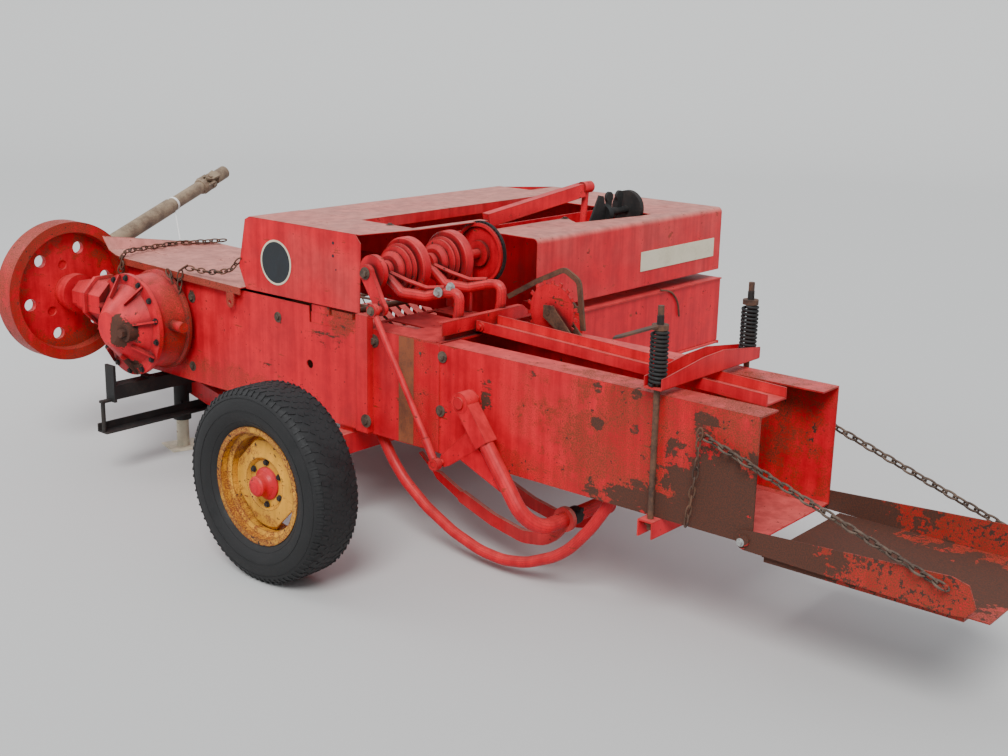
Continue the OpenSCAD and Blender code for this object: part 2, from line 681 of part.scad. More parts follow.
module pto_clutch() color(rusty) on_frame() {
  translate([drive_x, -1514, drive_z]) rotate([90, 0, 0]) difference() {
    cylinder(h = 50, r = 62);
    translate([0, 0, -1]) cylinder(h = 40, r = 25 + pin_gap);
  }
  for (z = [-44, 30])
    translate([drive_x - 22, -1630, drive_z + z]) cube([44, 68, 14]);
  // Cross of the joint
  bar([drive_x, pto_a[1], drive_z - 42], [drive_x, pto_a[1], drive_z + 42], 10);
  bar(pto_a - pto_side * 27.7, pto_a + pto_side * 27.7, 10);
}

module pto_shaft() color(rusty) on_frame() {
  for (k = [-1, 1]) bar(pto_a + pto_side * 37 * k - pto_dir * 8, pto_a + pto_side * 37 * k + pto_dir * 66, 9);
  bar(pto_a + pto_dir * 62, pto_a + pto_dir * 76, 48);
  bar(pto_a + pto_dir * 70, pto_a + pto_dir * 930, 38);
  bar(pto_a + pto_dir * 925, pto_a + pto_dir * 1205, pto_tube_r);
  // Fork on the tube, cross with its caps, and the end yoke with the splined bore
  along_shaft(1195, 118) {
    cylinder(h = 20, r1 = 37, r2 = 44);
    translate([0, 0, 18]) joint_ears(60);
    pin_x(-44, 44, 0, 78, 12);
  }
  along_shaft(pto_len - 142, 118) rotate([0, 0, 90]) pin_x(-42, 42, 0, 0, 12);
  difference() {
    along_shaft(pto_len - 93, 208) union() {
      rotate([180, 0, 0]) joint_ears(49);
      cylinder(h = 93, r = 33);
    }
    bar(pto_b - pto_dir * 70, pto_b + pto_dir * 10, 17.5);
  }
}

// Tie strap from the shaft down to the deck's front edge
strap_top = pto_a + pto_dir * 965;
strap_low = [-327, -1278, 899];

module pto_strap() color(cream) on_frame() {
  difference() {
    bar(strap_top - pto_dir * 6, strap_top + pto_dir * 6, pto_tube_r + 3);
    bar(strap_top - pto_dir * 16, strap_top + pto_dir * 16, pto_tube_r + pin_gap);
  }
  bar(strap_top - pto_lift * (pto_tube_r + 5), strap_low, 3);
}

// Needles and knotters

pivot = [yoke_y, yoke_z];
lever_pin = pivot + [-99, -238];
shaft_c = [knotter_y, knotter_z];
crank_dir = unit(lever_pin - shaft_c);
crank_side = [-crank_dir[1], crank_dir[0]];
crank_pin = shaft_c + crank_r * crank_dir;
tube_r = 27;
cross_y = 1090;
cross_z = 240;
// Direction of the yoke's arms and square to it
arm_dir = unit([cross_y - yoke_y, cross_z - yoke_z]);
arm_side = [-arm_dir[1], arm_dir[0]];
yoke_right = -chamber_w - yoke_x;
function on_arm(x, d) = [x, pivot[0] + arm_dir[0] * d, pivot[1] + arm_dir[1] * d];

// Boss and square sleeve at the upper end of a yoke arm
module yoke_head(x) {
  plate_x(x - 29, 58) polygon([pivot + 29 * arm_side, pivot - 29 * arm_side,
    pivot - 29 * arm_side + 165 * arm_dir, pivot + 29 * arm_side + 165 * arm_dir]);
  pin_x(x - 30, x + 30, yoke_y, yoke_z, 36);
}

module needle_yoke() color(red) on_frame() difference() {
  union() {
    yoke_head(yoke_x);
    yoke_head(yoke_right);
    bent_tube([on_arm(yoke_x, 20), [yoke_x, cross_y, cross_z], [yoke_right, cross_y, cross_z],
      on_arm(yoke_right, 20)], 110, tube_r, [0, arm_side[0], arm_side[1]], 8);
    // Gusset lever with the rod pin, and its brace
    plate_x(yoke_x - 5, 10) polygon([[678, 390], [684, 425], [850, 575], [905, 520], [725, 395], [700, 384]]);
    plate_x(yoke_x - 4, 8) polygon([[770, 430], [850, 490], [965, 400], [985, 345]]);
    pin_x(yoke_x, yoke_x + 52, lever_pin[0], lever_pin[1], 11);
  }
  pin_x(-chamber_w - 200, 200, yoke_y, yoke_z, yoke_pin_r + pin_gap);
}

needle_line = [[405, 327], [490, 264], [613, 206], [764, 155], [908, 128], [1020, 146], [1080, 215]];

module needles() color(red) on_frame() difference() {
  for (x = needle_x) plate_x(x - 9, 18) {
    strip(needle_line, 120, 46, 6);
    translate([cross_y, cross_z]) circle(44);
  }
  pin_x(-chamber_w, 0, cross_y, cross_z, tube_r + pin_gap);
}

module needle_rod() color(faded) on_frame() difference() {
  union() {
    bar([95, lever_pin[0], lever_pin[1]], [95, crank_pin[0], crank_pin[1]], 11);
    pin_x(86, 112, lever_pin[0], lever_pin[1], 22);
    // Threaded clevis at the lower end
    bar([99, lever_pin[0], lever_pin[1]],
      [97, lever_pin[0] - 95 * crank_dir[0], lever_pin[1] - 95 * crank_dir[1]], 14.5);
    pin_x(84, 106, crank_pin[0], crank_pin[1], 24);
  }
  pin_x(80, 120, lever_pin[0], lever_pin[1], 11 + pin_gap);
}

guard_x = -50;
guard_path = [
  [255, 419], [340, 299], [400, 235], [512, 159], [645, 97], [774, 61], [884, 54], [990, 74], [1107, 128],
  [1167, 171], [1206, 212], [1263, 279], [1318, 360], [1345, 419]
];

module needle_guard() color(red) on_frame() difference() {
  bent_tube([for (p = guard_path) [guard_x, p[0], p[1]]], 300, 20, [1, 0, 0], 3);
  block([guard_x - 50, 200, chamber_z - 0.3], [guard_x + 50, 1400, chamber_z + 60]);
}

// One knotter's stepped cam and gear discs, drawn along the shaft from its left face
module knotter_cam() rotate([0, 90, 0]) rotate_extrude($fn = 72) polygon([
  [knotter_shaft_r - 1, -75], [48, -73], [64, -62], [64, -54], [56, -50], [80, -44], [80, -34],
  [72, -31], [88, -26], [88, -17], [50, -13], [46, -4], [102, -2], [108, 3], [108, 36], [96, 38],
  [96, 8], [knotter_shaft_r - 1, 10]
]);

module knotter_shaft() color(red) on_frame() {
  pin_x(-chamber_w - 130, 60, knotter_y, knotter_z, knotter_shaft_r);
  for (x = needle_x) translate([x, knotter_y, knotter_z]) mirror([1, 0, 0]) knotter_cam();
  // Drive sprocket
  translate([-560, knotter_y, knotter_z]) rotate([0, 90, 0]) rotate_extrude($fn = 72)
    polygon([[knotter_shaft_r - 1, -20], [50, -20], [50, -6], [105, -6], [105, -16], [118, -16],
      [118, 16], [105, 16], [105, 6], [50, 6], [50, 20], [knotter_shaft_r - 1, 20]]);
  // Crank arm with its pin
  difference() {
    plate_x(44, 18) union() {
      translate(shaft_c) circle(31);
      translate(crank_pin) circle(25);
      polygon([shaft_c + 30 * crank_side, crank_pin + 23 * crank_side,
        crank_pin - 23 * crank_side, shaft_c - 30 * crank_side]);
    }
    pin_x(60, 80, knotter_y, knotter_z, 5);
  }
  pin_x(60, 78, crank_pin[0], crank_pin[1], 14);
  translate([8, knotter_y, knotter_z]) rotate([0, 90, 0]) cylinder(h = 22, r = 62);
}

// Middle line of a knotter frame's cast arm, from its boss down to its foot
function frame_line(x) = [
  [x + 98, knotter_y + 12, knotter_z - 15], [x + 96, 395, 945], [x + 35, 455, 932], [x + 4, 520, 950],
  [x, 588, 957], [x, 586, 890], [x, 566, chamber_top - 10]
];
function frame_rib(x) = [
  [x + 98, knotter_y + 25, knotter_z - 3], [x + 70, 402, 985], [x + 30, 458, 962], [x + 4, 520, 968]
];

module knotter_frames() color(red) on_frame() {
  // They stop short of the cross bar
  for (x = needle_x) difference() {
    union() {
      bent_tube(frame_line(x), 24, 19, unit([1, 1, 0]), 5, 12);
      bent_tube(frame_rib(x), 24, 8, [0, 0, 1], 4, 8);
      pin_x(x + 80, x + 104, knotter_y, knotter_z, 34);
    }
    pin_x(x, x + 200, knotter_y, knotter_z, knotter_shaft_r + pin_gap);
    block([x - 30, 500, chamber_top - 40], [x + 30, 640, chamber_top + 0.3]);
    block([x - 30, bar_y0 - 0.3, chamber_top], [x + 30, 640, bar_top + 0.3]);
  }
  // Right bearing bracket
  difference() {
    union() {
      block([-chamber_w + 10, knotter_y - 30, chamber_top + 0.3],
        [-chamber_w + 26, knotter_y + 30, knotter_z]);
      pin_x(-chamber_w + 10, -chamber_w + 26, knotter_y, knotter_z, 34);
    }
    pin_x(-chamber_w, -chamber_w + 40, knotter_y, knotter_z, knotter_shaft_r + pin_gap);
  }
}

// Bale tension gear

// The rail is one trough whose top falls towards the rear
rail_x = [-310, -187];
rail_y = [bar_y1 + 0.3, 1800];
rail_h = 38;
function rail_top(y) = chamber_top + 56.5 - 0.0367 * (y - rail_y[0]);

// Side outline of the rail between two depths below its top
function rail_side(d0, d1) = [[rail_y[0], rail_top(rail_y[0]) - d1], [rail_y[0], rail_top(rail_y[0]) - d0],
  [rail_y[1], rail_top(rail_y[1]) - d0], [rail_y[1], rail_top(rail_y[1]) - d1]];

module tension_rails() color(red) on_frame() {
  for (x = [rail_x[0], rail_x[1] - 6]) plate_x(x, 6) polygon(rail_side(0, rail_h));
  plate_x(rail_x[0] + 1, rail_x[1] - rail_x[0] - 2) polygon(rail_side(rail_h - 6, rail_h - 1));
  // Round end of the near wall with its bolt
  pin_x(rail_x[1] - 4, rail_x[1] + 5, rail_y[0] + 22, rail_top(rail_y[0]) - 20, 17);
  pin_x(rail_x[1] + 4, rail_x[1] + 12, rail_y[0] + 22, rail_top(rail_y[0]) - 20, 9);
}

beam_y = 1537;
beam_z = rail_top(beam_y - 34) + 0.3;
rod_x = [20, -chamber_w - 20];
channel_top = chamber_z - 0.3;

module tension_beams() color(red) on_frame() {
  for (y = [beam_y - 34, beam_y + 30])
    plate_y(y, 4) polygon([[45, beam_z + 3], [45, beam_z + 37], [-chamber_w / 2 + 60, beam_z + 66],
      [-chamber_w / 2 - 60, beam_z + 70], [-chamber_w - 45, beam_z + 40], [-chamber_w - 45, beam_z + 3]]);
  difference() {
    block([-chamber_w - 45, beam_y - 31, beam_z], [45, beam_y + 31, beam_z + 6]);
    for (x = rod_x) translate([x, beam_y, beam_z - 5]) cylinder(h = 20, r = 10 + pin_gap);
  }
  // Lower channel
  difference() {
    block([-chamber_w - 50, beam_y - 28, channel_top - 56], [50, beam_y + 28, channel_top]);
    block([-chamber_w - 51, beam_y - 23, channel_top - 57], [51, beam_y + 23, channel_top - 5]);
    for (x = rod_x) translate([x, beam_y, 320]) cylinder(h = 100, r = 10 + pin_gap);
  }
}

spring_z = beam_z + 6.3;
spring_turns = 13;
spring_pitch = 13.6;
spring_top = spring_z + spring_turns * spring_pitch;

module tension_rods() color(rusty) on_frame() {
  for (x = rod_x) {
    translate([x, beam_y, channel_top - 36]) cylinder(h = spring_top + 74 - channel_top + 36, r = 10);
    translate([x, beam_y, channel_top - 20]) cylinder(h = 14.7, r = 18, $fn = 6);
    translate([x, beam_y, spring_top + 0.3]) cylinder(h = 16, r = 26);
  }
  // Flat handle on the left nut, drawn to a point
  plate_z(spring_top + 10, 6) polygon([[rod_x[0], beam_y - 11], [rod_x[0] + 215, beam_y - 11],
    [rod_x[0] + 245, beam_y], [rod_x[0] + 215, beam_y + 9], [rod_x[0], beam_y + 11]]);
}

module tension_springs() color(dark) on_frame() {
  for (x = rod_x) translate([x, beam_y, spring_z]) rotate_extrude() polygon(concat(
    [[14, 0]],
    [for (k = [0 : spring_turns - 1]) each [[26, k * spring_pitch], [30, (k + 0.3) * spring_pitch],
      [30, (k + 0.7) * spring_pitch], [26, (k + 0.95) * spring_pitch]]],
    [[14, spring_turns * spring_pitch]]
  ));
}

// Chute

chute_end = chamber_rear_y + 728;
chute_mid = chute_end - 115;
chute_low = chamber_z - 25;
chain_end = [chute_end - 125, chute_low + 76];

module chute() color(rusty) on_frame() {
  for (x = [3, -chamber_w - 8]) difference() {
    plate_x(x, 5) union() {
      translate(chute_pin) circle(32);
      polygon([[chute_pin[0], chute_low + 6], [chute_mid, chute_low - 4], [chute_mid + 50, chute_low + 2],
        [chute_mid + 75, chute_low + 34], [chute_mid + 50, chute_low + 94], [chute_mid, chute_low + 107],
        [chute_pin[0], chute_low + 70]]);
    }
    pin_x(x - 1, x + 6, chute_pin[0], chute_pin[1], chute_pin_r + pin_gap);
  }
  // Chain studs
  pin_x(7, 32, chain_end[0], chain_end[1], 8);
  pin_x(-chamber_w - 32, -chamber_w - 7, chain_end[0], chain_end[1], 8);
  block([-chamber_w - 3, chamber_rear_y + 38, chute_low], [3, chute_end, chute_low + 4]);
  for (x = [-40, -chamber_w + 10])
    block([x, chamber_rear_y + 38, chute_low - 20], [x + 30, chute_end - 75, chute_low + 1]);
}

module chute_chains() color(rusty) on_frame() {
  d = unit(chain_end - chain_hook) * 8.3;
  a = chain_hook + d;
  b = chain_end - d;
  for (x = [22, -chamber_w - 22]) bar([x, a[0], a[1]], [x, b[0], b[1]], 7);
}

module plunger() color(rusty) on_frame() {
  block([-chamber_w + 14, -760, chamber_z + floor_t + 0.3], [-14, -385, chamber_z + 370]);
}

// Pickup

end_t = 6;

module end_plate(x) {
  difference() {
    plate_x(x, end_t) polygon([
      [-1080, 330], [-1090, 430], [-1020, 540], [-900, 600], [-560, 640], [-490, 590],
      [-490, 530], [-600, 410], [-760, 300], [-930, 212], [-1000, 212], [-1060, 262]]);
    pin_x(x - 1, x + end_t + 1, reel_y, reel_z, 15 + pin_gap);
    pin_x(x - 1, x + end_t + 1, lift_y, lift_z, 15 + pin_gap);
  }
}

module pickup_frame() color(red) on_frame() {
  for (x = [pickup_left, pickup_right + 20]) end_plate(x);
  // Cross tube, and the pan behind the reel
  pin_x(pickup_right + 20, pickup_left + 6, -700, 340, 22);
  plate_x(pickup_right + 26, pickup_left - pickup_right - 26)
    polygon([[-738, 446], [-700, 438], [-600, 424], [-600, 428], [-700, 442], [-738, 450]]);
}

tine_pitch = 66;
tine_n = 19;
tine_x0 = pickup_right + 68;

module pickup_reel() color(rusty) on_frame() {
  pin_x(pickup_right + 8, pickup_left + 20, reel_y, reel_z, 15);
  for (a = [0 : 90 : 270]) translate([0, reel_y, reel_z]) rotate([a + 30, 0, 0]) {
    pin_x(pickup_right + 40, pickup_left - 14, 0, 105, 9);
    for (i = [0 : tine_n - 1])
      translate([tine_x0 + i * tine_pitch, 0, 105]) rotate([8, 0, 0])
        cylinder(h = tine_r - 106, r = 3.5, $fn = 6);
  }
  for (x = [pickup_right + 44, (pickup_left + pickup_right) / 2, pickup_left - 30])
    pin_x(x, x + 6, reel_y, reel_z, 118);
}

band_r = 150;

band_t = 2.5;
band_a = 60;
band_w = 44;

module stripper_bands() color(red) on_frame() {
  for (i = [0 : tine_n - 2])
    translate([tine_x0 + (i + 0.5) * tine_pitch, reel_y, reel_z]) rotate([90, 0, 90]) rotate([0, 0, band_a]) {
      rotate_extrude(angle = 205) translate([band_r, -band_w / 2]) square([band_t, band_w]);
      // Straight tail back to the pan
      translate([band_r, -140, -band_w / 2]) cube([band_t, 140.5, band_w]);
    }
  // Cross bars that carry the bands between the end plates
  tail = [reel_y, reel_z] + (band_r - 14) * [cos(band_a), sin(band_a)] + 136 * [sin(band_a), -cos(band_a)];
  block([pickup_right + 26.3, tail[0] - 6, tail[1] - 8], [pickup_left - 0.3, tail[0] + 14, tail[1] + 12]);
  block([pickup_right + 26.3, -970, 224], [pickup_left - 0.3, -950, 232.5]);
}

module windguard() color(rusty) on_frame() {
  pin_x(pickup_right + 26.3, pickup_left - 0.3, -640, 600, 14);
  for (x = [pickup_right + 60 : 132 : pickup_left - 60]) bar([x, -640, 600], [x, -1060, 592], 6);
  pin_x(pickup_right + 50, pickup_left - 60, -900, 595, 9);
}

// Packer drive above the feeder hood

module packer_arm() color(red) on_frame() {
  block([-716, 209, packer_post_z - 3.7], [-684, 241, 1120]);
  strut([-690, 222, 1120], [-1150, 346, 1216], 54, 44);
  pin_x(-1200, -1140, 350, 1225, 24);
  bar([-1150, 345, 900], [-1170, 350, 1222], 14);
}

module packer_drive() color(dark) on_frame() {
  // Sprocket, small gear and their shaft
  translate([-1492, 350, 1112]) rotate([0, 90, 0]) cylinder(h = 26, r = 75);
  translate([-1320, 350, 1100]) rotate([0, 90, 0]) cylinder(h = 30, r = 42);
  pin_x(-1490, -1300, 350, 1105, 16);
  // Round ears and the slanted bracket in front of them
  for (x = [-1336, -1410]) plate_y(344, 12) union() {
    translate([x - 16, packer_shelf_z + 0.3]) square([32, 1168 - packer_shelf_z]);
    translate([x, 1168]) circle(24, $fn = 32);
  }
  plate_y(362, 8) polygon([[-1135, packer_shelf_z + 0.3], [-1242, 1186], [-1272, 1180], [-1296, 1100],
    [-1296, packer_shelf_z + 0.3]]);
}

meter_x = -chamber_w + 5 + 54;
meter_r = 100;

module metering_wheel() color(red) on_frame() difference() {
  union() {
    pin_x(meter_x - 3, meter_x + 3, meter_y, meter_z, meter_r);
    pin_x(meter_x - 14, meter_x + 14, meter_y, meter_z, 22);
    for (a = [0 : 20 : 340]) translate([meter_x - 3, meter_y, meter_z]) rotate([a, 0, 0])
      translate([0.5, -7, meter_r - 4]) cube([5, 14, 18]);
  }
  pin_x(meter_x - 20, meter_x + 20, meter_y, meter_z, 10 + pin_gap);
}

module trip_arm() color(rusty) on_frame() {
  // Wheel pin between two ears that stand on the chamber flange
  pin_x(meter_x - 30, meter_x + 30, meter_y, meter_z, 10);
  for (x = [meter_x - 28, meter_x + 20]) plate_x(x, 8) polygon([[meter_y + 120, chamber_top + 0.3],
    [meter_y + 20, meter_z + 24], [meter_y - 20, meter_z + 24], [meter_y - 20, meter_z - 20],
    [meter_y + 70, chamber_top + 0.3]]);
  // Curved trip arm outside the right wall, joined to the right ear by its boss
  plate_x(-chamber_w - 15, 10) union() {
    strip([[505, 881], [638, 957], [768, 1020], [836, 985], [850, 890], [862, 806]], 34, 20, 18);
    translate([803, 882]) circle(24);
    translate([803, 870]) square([48, 22]);
  }
  pin_x(-chamber_w - 10, meter_x - 24, 803, 882, 14);
}

chain_ends = [[10, -1130], [-200, -700]];
chain_r = 7;

// Middle height of a chain that lies on the flat part of the deck
function chain_z(y) = lookup(y, [deck_left[3], deck_left[4]]) + chain_r + 0.2;

module deck_chain() color(rusty) on_frame() {
  a = chain_ends[0];
  b = chain_ends[1];
  bar([a[0], a[1], chain_z(a[1])], [b[0], b[1], chain_z(b[1])], chain_r);
}

chamber_left_wall();
chamber_right_wall();
chamber_floor();
plunger_housing();
knotter_table();
deck();
knotter_hood();
feeder_hood();
feeder_floor();
twine_box();
twine_door();
axle();
left_rim();
left_tyre();
left_hub();
right_rim();
right_tyre();
right_hub();
gearbox();
front_frame();
drawbar();
jack_tube();
jack_leg();
flywheel();
pto_clutch();
pto_shaft();
pto_strap();
needle_yoke();
needles();
needle_rod();
needle_guard();
knotter_shaft();
knotter_frames();
tension_rails();
tension_beams();
tension_rods();
tension_springs();
chute();
chute_chains();
plunger();
pickup_frame();
pickup_reel();
stripper_bands();
windguard();
packer_arm();
packer_drive();
metering_wheel();
trip_arm();
deck_chain();
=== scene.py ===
"""Small square hay baler: finishes and fine pieces around the CAD frame, with a plain studio."""

import json
import math

import bmesh
import bpy
from mathutils import Matrix, Vector
from mathutils.bvhtree import BVHTree


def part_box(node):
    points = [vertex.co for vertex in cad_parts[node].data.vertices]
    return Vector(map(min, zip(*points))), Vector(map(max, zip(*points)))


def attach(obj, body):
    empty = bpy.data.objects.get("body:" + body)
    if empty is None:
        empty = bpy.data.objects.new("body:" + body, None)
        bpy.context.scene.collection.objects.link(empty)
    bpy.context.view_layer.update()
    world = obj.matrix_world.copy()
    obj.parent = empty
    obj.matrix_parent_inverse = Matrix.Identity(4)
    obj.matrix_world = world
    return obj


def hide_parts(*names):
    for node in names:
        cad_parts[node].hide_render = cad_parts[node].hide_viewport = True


bl_info = {
    "name": "Square Hay Baler",
    "version": (1, 0, 0),
    "blender": (4, 5, 0),
    "location": "View3D > Sidebar > Baler",
    "description": "Builds the finishes and fine pieces of a small square hay baler",
    "category": "Add Mesh",
}

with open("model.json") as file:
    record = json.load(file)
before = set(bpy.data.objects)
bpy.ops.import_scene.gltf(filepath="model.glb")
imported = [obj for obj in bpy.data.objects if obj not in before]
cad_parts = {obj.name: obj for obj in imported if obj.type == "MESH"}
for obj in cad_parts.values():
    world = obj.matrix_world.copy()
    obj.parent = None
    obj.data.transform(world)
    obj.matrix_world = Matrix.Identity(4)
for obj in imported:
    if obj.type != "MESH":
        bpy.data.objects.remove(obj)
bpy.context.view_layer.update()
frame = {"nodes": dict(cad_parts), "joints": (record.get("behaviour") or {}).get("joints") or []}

# Where each moving body turns
PIVOTS = {joint["child"]: Vector(joint["pos_m"]) for joint in frame["joints"] if "pos_m" in joint}

# Lengths are metres in the frame's axes; the bale chamber lies between these outer faces
CHAMBER_RIGHT, CHAMBER_LEFT = (corner[0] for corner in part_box("plunger_housing"))
LEFT, RIGHT = Vector((1, 0, 0)), Vector((-1, 0, 0))
UP, DOWN = Vector((0, 0, 1)), Vector((0, 0, -1))


def at(x, y, z):
    """A point given in millimetres, with x counted from the chamber's left face."""
    return Vector((CHAMBER_LEFT + x / 1000, y / 1000, z / 1000))


def turns(count, start=0.0):
    """Angles spread evenly round a circle, in radians."""
    return [2 * math.pi * k / count + start for k in range(count)]


# The gearbox drum's axis where it leaves the chamber's side
DRUM = at(0, -950, 645)


# Sizes and colours that a user would change


class BalerSizes(bpy.types.PropertyGroup):
    lug_count: bpy.props.IntProperty(
        name="Tyre lugs", description="Tread lugs around one row", default=56, min=30, max=90)
    link_pitch: bpy.props.FloatProperty(
        name="Link pitch", description="Pitch of the deck chain", default=0.034, unit="LENGTH")
    coil_turns: bpy.props.IntProperty(
        name="Spring turns", description="Turns of a bale tension spring", default=13, min=6, max=20)
    bolt_head: bpy.props.FloatProperty(
        name="Bolt head", description="Radius of a common bolt head", default=0.011, unit="LENGTH")


class BalerColours(bpy.types.PropertyGroup):
    red: bpy.props.FloatVectorProperty(
        name="Red enamel", description="Sound paint", subtype="COLOR",
        default=(0.62, 0.003, 0.016))
    chalk: bpy.props.FloatVectorProperty(
        name="Faded red", description="Paint bleached by the sun", subtype="COLOR",
        default=(0.50, 0.20, 0.165))
    yellow: bpy.props.FloatVectorProperty(
        name="Yellow enamel", description="Paint of the wheel rims", subtype="COLOR",
        default=(0.66, 0.31, 0.03))
    rust: bpy.props.FloatVectorProperty(
        name="Rust", description="Light surface rust", subtype="COLOR",
        default=(0.175, 0.040, 0.018))
    bare: bpy.props.FloatVectorProperty(
        name="Bare iron", description="Iron where the paint has gone", subtype="COLOR",
        default=(0.060, 0.030, 0.022))
    cream: bpy.props.FloatVectorProperty(
        name="Cream paint", description="Paint of the jack leg", subtype="COLOR",
        default=(0.62, 0.56, 0.42))


# Node groups


class Wiring:
    """Short ways to add and join nodes in one tree."""

    def __init__(self, tree):
        self.tree = tree

    def feed(self, socket, value):
        """Joins an output, or a node's first output, to an input, or sets the input's own value."""
        if isinstance(value, bpy.types.Node):
            value = value.outputs[0]
        if isinstance(value, bpy.types.NodeSocket):
            self.tree.links.new(value, socket)
        elif socket.type == "RGBA" and len(value) == 3:
            socket.default_value = (*value, 1)
        else:
            socket.default_value = value

    def add(self, kind, **values):
        """A node; each value is a setting of that name, or else goes to the input of that name."""
        node = self.tree.nodes.new(kind)
        for key, value in values.items():
            if hasattr(node, key):
                setattr(node, key, value)
            else:
                self.feed(node.inputs[key.replace("_", " ")], value)
        return node

    def place(self):
        return self.add("ShaderNodeTexCoord").outputs["Object"]

    def noise(self, vector, scale, detail, rough):
        node = self.add("ShaderNodeTexNoise", Vector=vector, Scale=scale, Detail=detail, Roughness=rough)
        return node.outputs["Fac"]

    def math(self, operation, *values, clamp=False):
        node = self.add("ShaderNodeMath", operation=operation, use_clamp=clamp)
        for socket, value in zip(node.inputs, values):
            self.feed(socket, value)
        return node.outputs[0]

    def plus(self, a, b):
        return self.math("ADD", a, b)

    def minus(self, a, b):
        return self.math("SUBTRACT", a, b)

    def times(self, a, b, clamp=False):
        return self.math("MULTIPLY", a, b, clamp=clamp)

    def times_plus(self, a, b, c):
        return self.math("MULTIPLY_ADD", a, b, c)

    def most(self, a, b):
        return self.math("MAXIMUM", a, b)

    def ramp(self, value, low, high, to_low=0.0, to_high=1.0):
        """A soft step that goes from to_low to to_high while value goes from low to high."""
        node = self.add("ShaderNodeMapRange", interpolation_type="SMOOTHSTEP")
        for socket, amount in zip(node.inputs, (value, low, high, to_low, to_high)):
            self.feed(socket, amount)
        return node.outputs[0]

    def mix(self, share, a, b):
        """Colour a, or b where share is 1."""
        node = self.add("ShaderNodeMix", data_type="RGBA")
        factor, colours, result = node.inputs[0], node.inputs[6:8], node.outputs[2]
        self.feed(factor, share)
        self.feed(colours[0], a)
        self.feed(colours[1], b)
        return result

    def vector(self, operation, *values):
        """Vector arithmetic; the second value of SCALE is a number."""
        node = self.add("ShaderNodeVectorMath", operation=operation)
        for name, value in zip((0, "Scale" if operation == "SCALE" else 1), values):
            self.feed(node.inputs[name], value)
        return node.outputs["Value" if operation in ("DOT_PRODUCT", "LENGTH") else "Vector"]


# What a group of a whole finish puts out
SURFACE = [("Color", "Color"), ("Roughness", "Float"), ("Height", "Float")]


def new_group(kind, name, inputs, outputs):
    """A group's wiring, what comes in and what goes out; an input is (name, socket kind, default)."""
    tree = bpy.data.node_groups.new(name, kind)
    for label, socket_kind, *default in inputs:
        socket = tree.interface.new_socket(label, in_out="INPUT", socket_type="NodeSocket" + socket_kind)
        if default:
            socket.default_value = default[0]
    for label, socket_kind in outputs:
        tree.interface.new_socket(label, in_out="OUTPUT", socket_type="NodeSocket" + socket_kind)
    w = Wiring(tree)
    return w, w.add("NodeGroupInput").outputs, w.add("NodeGroupOutput").inputs


